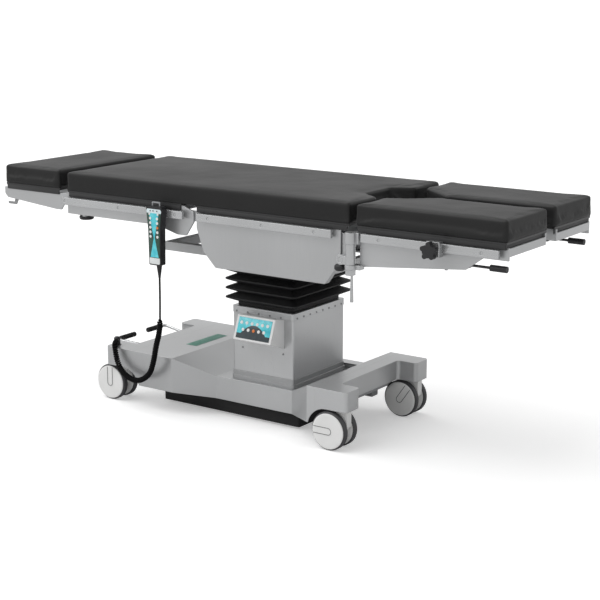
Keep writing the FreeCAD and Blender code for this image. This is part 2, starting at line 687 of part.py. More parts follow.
def console_strip(low_share, high_share, depth, thick):
    """A flat piece on the console's sloping front, from one share of its height to another."""
    rise = d.console_front_top - d.console_front_low
    run = d.console_low_y - d.console_top_y
    corners = []
    for share in (low_share, high_share):
        corners.append((run * share - d.console_low_y - depth, d.console_front_low + rise * share))
    low, high = corners
    return [low, high, (high[0] - thick, high[1]), (low[0] - thick, low[1])]


def console_panel():
    """The membrane panel: one plate with a raised screen and two rows of keys."""
    inner = (d.console_start + d.panel_margin, d.console_end - d.panel_margin)
    width = inner[1] - inner[0]
    plate = prism("YZ", console_strip(PANEL_LOW, PANEL_HIGH, size(0), d.panel_thick), inner)
    parts = [plate]
    for count, (low, high) in ((6, UPPER_KEYS), (5, LOWER_KEYS)):
        row = prism("YZ", console_strip(low, high, d.panel_thick, d.key_proud), inner)
        pitch = width / count
        gaps = []
        for number in range(count + 1):
            middle = inner[0] + pitch * number
            reach = (-d.console_low_y - d.panel_margin, -d.column_half_y)
            gaps.append(block(about(middle, pitch * KEY_GAP_SHARE), reach, (d.console_low, d.top_height)))
        parts.append(cut(row, *gaps))
    screen = prism("YZ", console_strip(SCREEN_LOW, SCREEN_HIGH, d.panel_thick, d.key_proud),
                   about((inner[0] + inner[1]) / 2, width * SCREEN_SHARE))
    return fuse(*parts, screen)


# Shares of the console front's height: plate, key rows and screen
PANEL_LOW = 0.05
PANEL_HIGH = 0.95
LOWER_KEYS = (0.12, 0.28)
SCREEN_LOW = 0.36
SCREEN_HIGH = 0.68
UPPER_KEYS = (0.76, 0.88)
KEY_GAP_SHARE = 0.2
SCREEN_SHARE = 0.44

nodes["console_panel"] = console_panel()

# Section: castors


def castor_housing(pivot_x, pivot_y):
    """The body between the twin wheels, its dust ring and its stem."""
    top = mount_low - d.hinge_gap
    wheel_x = pivot_x - d.castor_trail
    axle_z = d.wheel_radius
    outline = [
        (pivot_x - d.web_back, d.housing_top), (pivot_x + d.web_front, d.housing_top),
        (pivot_x + d.web_front, axle_z + d.web_knee), (wheel_x + d.hub_reach, axle_z - d.web_foot),
        (wheel_x - d.hub_reach / 2, axle_z - d.web_foot), (wheel_x - d.hub_reach, axle_z),
        (wheel_x - d.hub_reach, axle_z + d.web_knee),
    ]
    web = Piece().pad("XZ", outline, about(pivot_y, d.web_half)).round(d.web_round, "Y")
    ring = bar("Z", (pivot_x, pivot_y), d.ring_radius, (d.housing_top - d.web_clear, top))
    stem = bar("Z", (pivot_x, pivot_y), d.stem_radius, (d.housing_top, mount_high))
    axle_bore = bar("Y", (wheel_x, axle_z), d.axle_radius + d.fit_gap, about(pivot_y, d.web_half))
    return cut(fuse(web.body, ring, stem), axle_bore)


def tyre(wheel_x, low, high):
    """A rounded tread with the wheel disc's seat inside."""
    edge = d.tyre_edge
    middle = (low + high) / 2
    half = (high - low) / 2
    profile = [
        (d.disc_radius, -half), (d.wheel_radius - edge, -half), (d.wheel_radius, edge - half),
        (d.wheel_radius, half - edge), (d.wheel_radius - edge, half), (d.disc_radius, half),
    ]
    return turned(profile, "Y", (wheel_x, middle, d.wheel_radius))


def wheel_disc(wheel_x, low, high, side):
    """A smooth cover disc with a dished rim on the outer side."""
    rim = d.disc_rim
    proud = d.disc_proud
    if side < 0:
        span = (-proud, high - low)
        profile = [(size(0), span[0]), (d.disc_radius - rim, span[0]), (d.disc_radius, size(0)),
                   (d.disc_radius, span[1]), (size(0), span[1])]
    else:
        top = high - low
        profile = [(size(0), size(0)), (d.disc_radius, size(0)), (d.disc_radius, top),
                   (d.disc_radius - rim, top + proud), (size(0), top + proud)]
    return turned(profile, "Y", (wheel_x, low, d.wheel_radius))


def castor_wheels(pivot_x, pivot_y):
    wheel_x = pivot_x - d.castor_trail
    parts = []
    inner = d.wheel_offset - d.wheel_width / 2
    outer = d.wheel_offset + d.wheel_width / 2
    for side in (-1, 1):
        low, high = (pivot_y + edge for edge in across(side, inner, outer))
        parts.append(tyre(wheel_x, low, high))
        parts.append(wheel_disc(wheel_x, low, high, side))
    parts.append(bar("Y", (wheel_x, d.wheel_radius), d.axle_radius, about(pivot_y, inner)))
    return group(*parts)


for number, (pivot_x, pivot_y) in castor_places():
    nodes[f"castor_housing_{number}"] = castor_housing(pivot_x, pivot_y)
    nodes[f"castor_wheels_{number}"] = castor_wheels(pivot_x, pivot_y)

# Section: brake pedals


def brake_arm(side):
    """A bent rod from the pivot hub in the notch out to the foot grip."""
    hub_y = side * d.pedal_pivot_y.number
    end_x = d.pedal_pivot_x.number - d.pedal_reach.number
    end_y = side * d.pedal_end_y.number
    high = d.pedal_pivot_z.number + d.pedal_rise.number
    grip_end = side * (d.grip_inner.number + d.grip_end_gap.number)
    points = [
        (d.pedal_pivot_x.number, hub_y, d.pedal_pivot_z.number), (end_x, end_y, high), (end_x, grip_end, high),
    ]
    rod = tube(points, d.pedal_rod, "brake arm", d.pedal_bend.number)
    hub = bar("Y", (d.pedal_pivot_x, d.pedal_pivot_z), d.pedal_hub_radius, about(side * d.pedal_pivot_y, d.pedal_hub_half))
    bore = bar("Y", (d.pedal_pivot_x, d.pedal_pivot_z), d.pedal_pin_radius + d.fit_gap,
               about(side * d.pedal_pivot_y, d.pedal_hub_half))
    return cut(fuse(rod, hub), bore)


def brake_grip(side):
    """The ribbed rubber sleeve on the rod's cross piece."""
    x = d.pedal_pivot_x - d.pedal_reach
    z = d.pedal_pivot_z + d.pedal_rise
    span = across(side, d.grip_inner, d.grip_inner + d.grip_length)
    sleeve = bar("Y", (x, z), d.grip_radius, span)
    ribs = []
    for number in range(GRIP_RIBS):
        middle = d.grip_inner + d.grip_length * ((number + 0.5) / GRIP_RIBS)
        rib = across(side, middle - d.grip_rib, middle + d.grip_rib)
        ribs.append(bar("Y", (x, z), d.grip_radius + d.grip_rib_proud, rib))
    bore_end = d.grip_inner + d.grip_end_gap
    bore = bar("Y", (x, z), d.pedal_rod + d.fit_gap, across(side, bore_end, d.grip_inner + d.grip_length))
    return cut(fuse(sleeve, *ribs), bore)


GRIP_RIBS = 7

for name, side in SIDES:
    nodes[f"brake_arm_{name}"] = brake_arm(side)
    nodes[f"brake_grip_{name}"] = brake_grip(side)

# Section: lift column, bellows, tilt cross and slide carriage

plate_top = d.head_plate_z + d.head_plate_thick


def lift_column():
    """Square ram, head plate and the two lugs that carry the tilt cross."""
    half = d.ram_half
    ram = block(about(d.pivot_x, half), (-half, half), (d.ram_low, d.head_plate_z))
    inner = half - d.ram_wall
    hollow = block(about(d.pivot_x, inner), (-inner, inner), (d.ram_low, d.head_plate_z - d.ram_wall))
    wide = d.head_plate_half
    plate = block(about(d.pivot_x, wide), (-wide, wide), (d.head_plate_z, plate_top))
    parts = [plate]
    bores = []
    for side in (-1, 1):
        low, high = across(side, d.lift_lug_in, d.lift_lug_out)
        span = (d.pivot_x + low, d.pivot_x + high)
        rise = d.pivot_z + d.lift_lug_cap
        outline = [
            (-d.lift_lug_foot, plate_top), (d.lift_lug_foot, plate_top), (d.lift_lug_top, rise), (-d.lift_lug_top, rise),
        ]
        parts.append(Piece().pad("YZ", outline, span).round(d.lift_lug_round, "X", above(d.pivot_z)).body)
        bores.append(bar("X", (size(0), d.pivot_z), d.shaft_radius + d.fit_gap, span))
    return cut(fuse(cut(ram, hollow), *parts), *bores)


def above(height):
    return lambda point: point.z > height.number


nodes["lift_column"] = lift_column()


def bellows():
    """Pleated square bellows: mitred folds over the ram, with a collar below and a flange above."""
    valley_x, valley_y = d.bellows_valley_x, d.bellows_valley_y
    tip_x, tip_y = valley_x + d.bellows_fold, valley_y + d.bellows_fold
    parts = [block(about(d.pivot_x, valley_x), (-valley_y, valley_y), (d.column_top, d.bellows_low))]
    half_pitch = d.bellows_pitch / 2
    for number in range(FOLDS):
        low = d.bellows_low + d.bellows_pitch * number
        for rising in (True, False):
            start = low if rising else low + half_pitch
            wedge = doc.addObject("Part::Wedge", "fold")
            narrow, wide = (valley_x, valley_y), (tip_x, tip_y)
            foot, head = (narrow, wide) if rising else (wide, narrow)
            # The wedge is drawn standing along its own Y, then laid on its side
            for prop, amount in (("Xmin", -foot[0]), ("Xmax", foot[0]), ("X2min", -head[0]), ("X2max", head[0]),
                                 ("Zmin", -foot[1]), ("Zmax", foot[1]), ("Z2min", -head[1]), ("Z2max", head[1]),
                                 ("Ymin", size(0)), ("Ymax", half_pitch)):
                wedge.setExpression(prop, amount.text)
            parts.append(place(wedge, "UP", (d.pivot_x, size(0), start)))
    bore_x, bore_y = d.bellows_hole_x, d.bellows_hole_y
    bore = block(about(d.pivot_x, bore_x), (-bore_y, bore_y), (d.column_top, d.head_plate_z - d.bellows_flange))
    neck = d.head_plate_half - d.bellows_seat
    mouth = block(about(d.pivot_x, neck), (-neck, neck), (d.column_top, d.head_plate_z))
    return cut(fuse(*parts), bore, mouth)


FOLDS = 4
TURNS["UP"] = FreeCAD.Rotation(FreeCAD.Vector(1, 0, 0), 90)

nodes["bellows"] = bellows()


def tilt_cross():
    """The cardan block: a long shaft along the table for lateral tilt, a cross shaft for end tilt."""
    half = d.cross_half
    outline = rectangle((-half, half), about(d.pivot_z, d.cross_height / 2))
    body = Piece().pad("YZ", outline, about(d.pivot_x, half)).round(d.cross_round, "X").body
    long_shaft = bar("X", (size(0), d.pivot_z), d.shaft_radius, about(d.pivot_x, d.lift_lug_out))
    cross_shaft = bar("Y", (d.pivot_x, d.pivot_z), d.shaft_radius, (-d.lug_out, d.lug_out))
    return fuse(body, long_shaft, cross_shaft)


nodes["tilt_cross"] = tilt_cross()


def carriage_frame():
    """Two slide beams with lugs on the cross shaft, tied at both ends."""
    parts = []
    tools = []
    for side in (-1, 1):
        parts.append(bar("Y", (d.pivot_x, d.pivot_z), d.lug_radius, across(side, d.lug_in, d.lug_out)))
        parts.append(block(about(d.pivot_x, d.gusset_half), across(side, d.lug_in, d.beam_in),
                           (d.gusset_low, d.gusset_high)))
        parts.append(block(about(d.pivot_x, d.gusset_half), across(side, d.web_in, d.beam_in),
                           (d.beam_low, d.gusset_high)))
        parts.append(block((d.beam_start, d.beam_end), across(side, d.beam_in, d.beam_out), (d.beam_low, d.beam_high)))
        tools.append(bar("Y", (d.pivot_x, d.pivot_z), d.shaft_radius + d.fit_gap, across(side, d.lug_in, d.lug_out)))
        wall = d.beam_wall
        channel_x = (d.beam_start + d.tie_width, d.pivot_x - d.gusset_half)
        channel_y = across(side, d.beam_in, d.beam_out - wall)
        channel_z = (d.beam_low + wall, d.beam_high - wall)
        tools.append(block(channel_x, channel_y, channel_z))
        channel_x = (d.pivot_x + d.gusset_half, d.beam_end - d.tie_width)
        tools.append(block(channel_x, channel_y, channel_z))
    inner = (-d.beam_in, d.beam_in)
    parts.append(block((d.beam_start, d.beam_start + d.tie_width), inner, (d.beam_low, d.beam_high)))
    parts.append(block((d.beam_end - d.tie_width, d.beam_end), inner, (d.beam_low, d.beam_high)))
    return cut(fuse(*parts), *tools)


nodes["carriage_frame"] = carriage_frame()

# Section: seat section

runner_low = d.beam_high + d.runner_low_gap
runner_high = runner_low + d.runner_height
seat_bars = (d.seat_rail_start + d.seat_screw_first, (d.seat_rail_start + d.seat_rail_end) / 2,
             d.seat_rail_end - d.seat_screw_last)
hinge_plate_out = plate_in - d.hinge_gap
yoke_out = d.yoke_in + d.yoke_width
leg_pivot_out = d.plate_out - d.cover_sheet


def back_hinge_plate(side):
    """Bracket and pin on the seat for the back section's hinge."""
    hinge_x, hinge_z = d.back_hinge_x, d.back_hinge_z
    first_bar = seat_bars[0]
    radius = d.hinge_pin_radius * 2
    half = d.crossbar_width / 2
    outline = [
        (hinge_x, hinge_z - radius), (first_bar + half, crossbar_low - radius), (first_bar + half, board_low),
        (first_bar - half, board_low), (hinge_x + d.bracket_reach, hinge_z + radius), (hinge_x, hinge_z + radius),
    ]
    span = across(side, hinge_plate_out - d.bracket_thick, hinge_plate_out)
    plate = prism("XZ", outline, span)
    disc = bar("Y", (hinge_x, hinge_z), radius, span)
    pin_span = across(side, hinge_plate_out - d.bracket_thick, d.plate_out - d.hinge_gap)
    return [plate, disc, bar("Y", (hinge_x, hinge_z), d.hinge_pin_radius, pin_span)]


def leg_pivot_plate(side):
    """Plate at the foot end of the seat that carries a leg section's yoke on a pin."""
    last_bar = seat_bars[-1]
    half = d.crossbar_width / 2
    reach = d.yoke_hub_radius
    pivot_x, pivot_z = d.tilt_pivot_x, d.tilt_pivot_z
    outline = [
        (last_bar - half, board_low), (last_bar - half, crossbar_low), (pivot_x - reach * 2, pivot_z),
        (pivot_x - reach, pivot_z - reach), (pivot_x + reach, pivot_z - reach), (pivot_x + reach, crossbar_low - reach),
        (last_bar + half, board_low),
    ]
    span = across(side, leg_pivot_out - d.leg_pivot_thick, leg_pivot_out)
    return Piece().pad("XZ", outline, span).round(d.plate_round, "Y", below(pivot_z)).body


def below(height):
    return lambda point: point.z < height.number


def seat_frame():
    """Crossbars on two runners, the hinge and pivot plates, and the pins of the leg yokes."""
    parts = []
    pins = []
    for x in seat_bars:
        parts.append(crossbar(x, d.plate_out))
    for side in (-1, 1):
        parts.append(block((d.runner_start, d.runner_end), across(side, d.runner_in, d.runner_out),
                           (runner_low, runner_high)))
        middle = (d.runner_in + d.runner_out) / 2
        for x in seat_bars:
            post_span = across(side, middle - d.post_width / 2, middle + d.post_width / 2)
            parts.append(block(about(x, d.post_width / 2), post_span, (runner_high, crossbar_low)))
        parts.extend(back_hinge_plate(side))
        parts.append(leg_pivot_plate(side))
        pin_span = across(side, leg_pivot_out, yoke_out - d.hinge_gap)
        pins.append(bar("Y", (d.tilt_pivot_x, d.tilt_pivot_z), d.tilt_pin_radius, pin_span))
    return group(fuse(*parts), *pins)


nodes["seat_frame"] = seat_frame()


def cover_outline(wall):
    """A side cover from the side: swept up at the head end, stepped up at the foot end."""
    start, end = d.cover_start + wall, d.cover_end - wall
    low = d.cover_bottom + wall
    return [
        (start, d.cover_top), (start, d.cover_step_z), (start + d.cover_sweep, low + d.cover_sweep_rise),
        (start + d.cover_lead, low), (end - d.cover_tail, low), (end - d.cover_kick, low + d.cover_kick_rise),
        (end, low + d.cover_kick_rise + d.cover_kick / 2), (end, d.cover_top + d.cover_lift),
    ]


def seat_covers():
    """Pressed side covers: a flat sheet with a return flange along the lower edge."""
    sheets = []
    for side in (-1, 1):
        face = across(side, d.plate_out, d.cover_face)
        sheet = Piece().pad("XZ", cover_outline(size(0)), face)
        sheet.round(d.cover_corner, "Y", below(d.cover_step_z - d.cover_corner))
        flange_span = across(side, d.cover_face - d.cover_flange, d.plate_out)
        rim = Piece().pad("XZ", cover_outline(size(0)), flange_span)
        rim.round(d.cover_corner, "Y", below(d.cover_step_z - d.cover_corner))
        inner = prism("XZ", cover_outline(d.cover_sheet), flange_span)
        flange_top = d.cover_bottom + d.cover_flange_rise
        upper = block((d.cover_start, d.cover_end), flange_span, (flange_top, d.top_height))
        sheets.append(fuse(sheet.body, cut(rim.body, inner, upper)))
    return group(*sheets)


nodes["seat_covers"] = seat_covers()


def seat_rails():
    rails = []
    for side in (-1, 1):
        rails.append(accessory_rail(side, (d.seat_rail_start, d.seat_rail_end), rail_in, seat_bars, d.cover_face))
    return group(*rails)


nodes["seat_rails"] = seat_rails()


def cutout(inset, grow):
    """The perineal cut-out from above, open to the foot end."""
    end = main_end + inset
    outer = d.cutout_outer / 2 + grow
    inner = d.cutout_inner / 2 + grow
    deep = main_end - d.cutout_depth - grow
    return [(end, -outer), (end, outer), (deep, inner), (deep, -inner)]


def seat_board():
    """The flat board under the seat pad, with the same cut-out."""
    inset = d.board_inset
    start = d.back_hinge_x + fold(pad_low) + d.fold_gap
    half = main_half - inset
    plan = rectangle((start, main_end - inset), (-half, half))
    board = Piece().pad("XY", plan, (board_low, pad_low))
    return board.pocket("XY", cutout(size(0), inset), (board_low, pad_low)).body


nodes["seat_board"] = seat_board()


def top_edges(span, half):
    """The long top edges and the end top edge of a pad."""
    return lambda point: point.z > d.top_height.number - 1


def seat_pad():
    """The seat pad: its head end slopes back from the fold, its foot end has the cut-out."""
    low, high = fold(pad_low) + d.fold_gap, fold(d.top_height) + d.fold_gap
    hinge = d.back_hinge_x
    outline = [(hinge + low, pad_low), (hinge + high, d.top_height), (main_end, d.top_height), (main_end, pad_low)]
    pad = Piece().pad("XZ", outline, (-main_half, main_half))
    pad.pocket("XY", cutout(size(0), size(0)), (pad_low, d.top_height))
    pad.round(d.pad_round, "X", above(d.top_height - 1))
    return pad.body


nodes["seat_pad"] = seat_pad()


def pad_fold():
    """The part of the main pad over the hinge, which is squeezed together when the back is raised."""
    low, high = fold(pad_low), fold(d.top_height)
    hinge = d.back_hinge_x
    outline = [(hinge - low, pad_low), (hinge - high, d.top_height), (hinge + high, d.top_height), (hinge + low, pad_low)]
    return Piece().pad("XZ", outline, (-main_half, main_half)).round(d.pad_round, "X", above(d.top_height - 1)).body


nodes["pad_fold"] = pad_fold()

# Section: back section

back_bars = (main_start + d.crossbar_width, (main_start + d.back_hinge_x) / 2, d.back_rail_end - d.back_bar_back)


def back_plate(side):
    """Side plate: straight, then deeper towards the hinge, with its end swept up round the pivot."""
    hinge_x = d.back_hinge_x
    end = hinge_x + d.back_end_over
    low = d.back_plate_bottom
    drop_end = d.back_drop_start + d.back_drop_run
    outline = [
        (main_start, low), (d.back_drop_start, low), (drop_end, d.back_drop_bottom),
        (hinge_x - d.back_end_over, d.back_drop_bottom + d.hinge_gap), (end, d.back_hinge_z - d.hinge_pin_radius * 2),
        (end, d.rail_top), (hinge_x - fold(board_low), board_low), (main_start, board_low),
    ]
    span = across(side, plate_in, d.plate_out)
    plate = Piece().pad("XZ", outline, span).round(d.plate_round, "Y", below(d.back_hinge_z)).body
    ear = bar("Y", (head_hinge_x, d.head_hinge_z), d.head_ear_radius, span)
    ear_arm = block((head_hinge_x, main_start), span, about(d.head_hinge_z, d.head_ear_radius))
    pin_span = across(side, d.head_plate_out - d.plate_thick, plate_in)
    pin = bar("Y", (head_hinge_x, d.head_hinge_z), d.head_pin_radius, pin_span)
    bore = bar("Y", (hinge_x, d.back_hinge_z), d.hinge_pin_radius + d.fit_gap, span)
    return cut(fuse(plate, ear, ear_arm, pin), bore)


def knob_flange():
    """A flange under the near side plate for the locking knob's screw, clear of the head section's plate."""
    inner = d.lock_knob_y - d.lock_knob_radius + d.lock_screw_radius
    outer = d.head_plate_out - d.plate_thick - d.flange_clear
    x, y = d.lock_knob_x, d.lock_knob_y
    low, high = d.lock_flange_low, d.lock_flange_low + d.lock_flange_thick
    half = d.lock_knob_radius
    plate = block(about(x, half), across(-1, inner, outer), (low, high))
    arm = block((x + half - d.crossbar_width / 2, x + half), across(-1, inner, plate_in), (low, high + d.flange_clear))
    hole = bar("Z", (x, -y), d.lock_screw_radius + d.fit_gap, (low, high))
    return cut(fuse(plate, arm), hole)


def back_frame():
    parts = [back_plate(-1), back_plate(1), knob_flange()]
    for x in back_bars:
        parts.append(crossbar(x, plate_in))
    return fuse(*parts)


nodes["back_frame"] = back_frame()

back_screws = (d.back_rail_start + d.back_screw_first,
               (d.back_rail_start + d.back_screw_first + d.back_rail_end - d.back_screw_last) / 2,
               d.back_rail_end - d.back_screw_last)


def back_rails():
    rails = []
    for side in (-1, 1):
        rails.append(accessory_rail(side, (d.back_rail_start, d.back_rail_end), rail_in, back_screws, d.plate_out))
    return group(*rails)


nodes["back_rails"] = back_rails()

board_half = main_half - d.board_inset
back_board_end = d.back_hinge_x - fold(pad_low) - d.fold_gap
nodes["back_board"] = block((main_start + d.board_inset, back_board_end), (-board_half, board_half), (board_low, pad_low))


def back_pad():
    low, high = fold(pad_low) + d.fold_gap, fold(d.top_height) + d.fold_gap
    hinge = d.back_hinge_x
    outline = [(main_start, pad_low), (hinge - low, pad_low), (hinge - high, d.top_height), (main_start, d.top_height)]
    pad = Piece().pad("XZ", outline, (-main_half, main_half))
    pad.round(d.pad_round, "Z").round(d.pad_round, "X", above(d.top_height - 1))
    return pad.body


nodes["back_pad"] = back_pad()


def hand_knob(axis, x, y, low, radius, height, screw_radius, screw_top):
    """A dished round knob under its screw, both on one vertical axis."""
    edge = height / 4
    profile = [
        (size(0), size(0)), (radius - edge, size(0)), (radius, edge), (radius, height - edge),
        (radius - edge, height), (screw_radius, height), (screw_radius, screw_top - low), (size(0), screw_top - low),
    ]
    return turned(profile, axis, (x, y, low))


knob_top = d.lock_flange_low - d.hinge_gap
nodes["back_knob"] = hand_knob("Z", d.lock_knob_x, -d.lock_knob_y, knob_top - d.lock_knob_height, d.lock_knob_radius,
                               d.lock_knob_height, d.lock_screw_radius,
                               d.lock_flange_low + d.lock_flange_thick + d.lock_screw_radius)

# Section: head section


def head_frame():
    """Tapered side plates with ears at the hinge, three cross-members and the lever's pin."""
    parts = []
    bores = []
    start = d.head_plate_start
    for side in (-1, 1):
        span = across(side, d.head_plate_out - d.plate_thick, d.head_plate_out)
        bevel = d.head_bevel
        throat = head_hinge_x - d.head_throat
        outline = [
            (start, d.head_plate_top), (start, d.head_plate_low + bevel), (start + bevel, d.head_plate_low),
            (throat - d.crossbar_width, d.head_hinge_low), (throat, d.head_hinge_low),
            (head_hinge_x, d.head_hinge_z - d.head_ear_radius), (head_hinge_x, d.head_plate_top),
        ]
        parts.append(prism("XZ", outline, span))
        parts.append(bar("Y", (head_hinge_x, d.head_hinge_z), d.head_ear_radius, span))
        bores.append(bar("Y", (head_hinge_x, d.head_hinge_z), d.head_pin_radius + d.fit_gap, span))
    inner = d.head_plate_out
    parts.append(crossbar(start + d.crossbar_width, inner))
    parts.append(crossbar(head_pad_end - d.crossbar_width, inner))
    pin_out = d.head_plate_out - d.plate_thick
    pin_in = pin_out - d.lever_plate - d.hinge_gap * 2
    pin = bar("Y", (d.head_lever_x, head_lever_z), d.head_lever_pin, across(-1, pin_in, pin_out))
    return fuse(cut(fuse(*parts), *bores), pin)


head_lever_z = d.head_plate_low + d.head_lever_rise
nodes["head_frame"] = head_frame()


def head_lever():
    """The grey release lever inside the near head plate."""
    outer = d.head_plate_out - d.plate_thick - d.hinge_gap
    span = across(-1, outer - d.lever_plate, outer)
    x, z = d.head_lever_x, head_lever_z
    wide = d.head_lever_pin * 2
    tip = d.head_lever_length
    outline = [
        (x - wide, z), (x - wide * 2, z - tip / 2), (x - tip, z - tip / 2), (x - tip, z - tip / 2 - wide),
        (x - wide, z - tip / 2 - wide), (x + wide, z),
    ]
    arm = prism("XZ", outline, span)
    hub = bar("Y", (x, z), wide, span)
    bore = bar("Y", (x, z), d.head_lever_pin + d.fit_gap, span)
    return cut(fuse(arm, hub), bore)


nodes["head_lever"] = head_lever()

head_half = d.head_width / 2
nodes["head_board"] = block((head_start + d.board_inset, head_pad_end - d.board_inset),
                            (d.board_inset - head_half, head_half - d.board_inset), (board_low, pad_low))


def head_pad():
    plan = rectangle((head_start, head_pad_end), (-head_half, head_half))
    pad = Piece().pad("XY", plan, (pad_low, d.top_height)).round(d.pad_round, "Z")
    return pad.round(d.pad_round, "X", above(d.top_height - 1)).body


nodes["head_pad"] = head_pad()

# Section: leg sections

leg_in = d.legs_gap / 2
leg_out = d.legs_width / 2
leg_plate_in = d.leg_plate_out - d.plate_thick
post_top = d.barrel_low - d.hinge_gap
barrel_top = d.barrel_low + d.barrel_height
foot_barrel_top = d.post_low - d.hinge_gap


def leg_plan(inset):
    """A leg pad from above, with its inner corner cut off beside the cut-out."""
    return [
        (leg_start + inset, leg_out - inset), (leg_end - inset, leg_out - inset), (leg_end - inset, leg_in + inset),
        (leg_start + d.leg_cut_length, leg_in + inset), (leg_start + inset, leg_in + d.leg_cut_width),
    ]


leg_end = d.half_length


def mirrored(outline, side):
    return [(x, y * side) for x, y in outline]


def leg_yoke(side):
    """The tilting yoke: a hub on the seat's pin, an arm and the post that the leg section swings on."""
    y = side * d.leg_hinge_y
    span = across(side, d.yoke_in, yoke_out)
    hub = bar("Y", (d.tilt_pivot_x, d.tilt_pivot_z), d.yoke_hub_radius, span)
    arm = block((d.tilt_pivot_x, d.leg_hinge_x), span, about(d.tilt_pivot_z, d.yoke_arm / 2))
    post = bar("Z", (d.leg_hinge_x, y), d.post_radius, (d.post_low, post_top))
    pin = bar("Z", (d.leg_hinge_x, y), d.leg_pin_radius, (d.foot_barrel_low + d.foot_pin_clear, barrel_top))
    bore = bar("Y", (d.tilt_pivot_x, d.tilt_pivot_z), d.tilt_pin_radius + d.fit_gap, span)
    hub_low = d.tilt_pivot_z - d.yoke_hub_radius
    screw_hole = bar("Z", (d.leg_knob_x, y), d.knob_screw_radius + d.fit_gap, (hub_low, hub_low + d.knob_screw_reach))
    return cut(fuse(hub, arm, post, pin), bore, screw_hole)


def leg_frame(side):
    """Side plate with two barrels, an inner bar, cross-members, an end strip and the board on top."""
    y = side * d.leg_hinge_y
    outer = across(side, leg_plate_in, d.leg_plate_out)
    end = d.leg_plate_end
    outline = [
        (d.leg_plate_start, d.leg_plate_top), (d.leg_plate_start, d.leg_plate_low), (d.leg_mid_x, d.leg_plate_low_mid),
        (d.leg_step_x, d.leg_plate_low_end), (end, d.leg_plate_low_end), (end, d.leg_plate_top),
    ]
    plate = Piece().pad("XZ", outline, outer).round(d.plate_round, "Y", below(d.leg_plate_low_end - 1)).body
    parts = [plate]
    tools = []
    arm_span = across(side, d.leg_plate_out, d.leg_hinge_y)
    for low, high in ((d.barrel_low, barrel_top), (d.foot_barrel_low, foot_barrel_top)):
        parts.append(bar("Z", (d.leg_hinge_x, y), d.barrel_radius, (low, high)))
        tools.append(bar("Z", (d.leg_hinge_x, y), d.leg_pin_radius + d.fit_gap, (d.foot_barrel_low + d.foot_pin_clear, high)))
    parts.append(block((d.leg_hinge_x, d.leg_plate_start + d.plate_thick), across(side, leg_plate_in, d.leg_hinge_y),
                       (d.barrel_low, barrel_top)))
    parts.append(block((d.leg_hinge_x, d.leg_plate_start + d.leg_foot_arm), across(side, leg_plate_in, d.leg_hinge_y),
                       (d.foot_barrel_low, foot_barrel_top)))
    tools.append(bar("Z", (d.leg_hinge_x, y), d.knob_screw_radius + d.fit_gap, (d.foot_barrel_low, foot_barrel_top)))
    inner_span = across(side, d.leg_inner_plate, d.leg_inner_plate + d.plate_thick)
    inner_start = leg_start + d.leg_cut_length
    parts.append(block((inner_start, end), inner_span, (d.leg_end_low, board_low)))
    for x in (d.leg_rail_start + d.leg_screw_first * 2, d.leg_rail_end - d.leg_screw_last):
        parts.append(block(about(x, d.crossbar_width / 2), across(side, d.leg_inner_plate, d.leg_plate_out - d.plate_thick),
                           (crossbar_low, board_low)))
    strip = across(side, d.leg_inner_plate, leg_plate_in)
    parts.append(block((end - d.leg_end_thick, end), strip, (d.leg_end_low, d.leg_end_top)))
    lever_out = leg_plate_in
    lever_in = lever_out - d.lever_plate * 2 - d.hinge_gap * 2
    pin = bar("Y", (d.lever_start, d.lever_z), d.head_lever_pin, across(side, lever_in, lever_out))
    frame = fuse(cut(fuse(*parts), *tools), pin)
    board = prism("XY", mirrored(leg_plan(d.board_inset), side), (board_low, pad_low))
    return group(frame, board)


def leg_rail(side):
    screws = (d.leg_rail_start + d.leg_screw_first, d.leg_rail_end - d.leg_screw_last)
    inner = d.leg_plate_out + d.rail_standoff
    return accessory_rail(side, (d.leg_rail_start, d.leg_rail_end), inner, screws, d.leg_plate_out)


def leg_pad(side):
    pad = Piece().pad("XY", mirrored(leg_plan(size(0)), side), (pad_low, d.top_height)).round(d.pad_round, "Z")
    return pad.round(d.pad_round, "X", above(d.top_height - 1)).body


def leg_lock(side):
    """Clamping block under the lower barrel, its screw and a tapered handle that hangs down."""
    y = side * d.leg_hinge_y
    top = d.foot_barrel_low - d.hinge_gap
    half = d.lock_block_size / 2
    plan = rectangle(about(d.leg_hinge_x, half), about(y, half))
    body = Piece().pad("XY", plan, (d.lock_block_low, top)).round(d.plate_round, "Z").body
    screw = bar("Z", (d.leg_hinge_x, y), d.knob_screw_radius, (top, d.foot_barrel_low + d.foot_pin_clear - d.hinge_gap))
    handle_x = d.leg_hinge_x + d.lock_handle_shift
    radii = (d.lock_handle_radius, d.lock_handle_radius / 2 + d.lock_handle_neck)
    handle = cone("Z", (handle_x, y), radii, (d.lock_handle_low, d.lock_block_low))
    return fuse(body, screw, handle)


def leg_knob(side):
    hub_low = d.tilt_pivot_z - d.yoke_hub_radius
    top = hub_low - d.hinge_gap
    return hand_knob("Z", d.leg_knob_x, side * d.leg_hinge_y, top - d.leg_knob_height, d.leg_knob_radius,
                     d.leg_knob_height, d.knob_screw_radius, hub_low + d.knob_screw_reach - d.hinge_gap)


def leg_lever(side):
    """The release lever inside the side plate: hub, rod and a thick grip."""
    outer = leg_plate_in - d.hinge_gap
    inner = outer - d.lever_plate * 2
    y = (outer + inner) / 2 * side
    hub = bar("Y", (d.lever_start, d.lever_z), d.lever_hub_radius, across(side, inner, outer))
    bore = bar("Y", (d.lever_start, d.lever_z), d.head_lever_pin + d.fit_gap, across(side, inner, outer))
    rod = bar("X", (y, d.lever_z), d.lever_rod_radius, (d.lever_start + d.head_lever_pin * 2, d.lever_grip_start))
    grip = bar("X", (y, d.lever_z), d.lever_grip_radius, (d.lever_grip_start, d.lever_end))
    return cut(fuse(hub, rod, grip), bore)


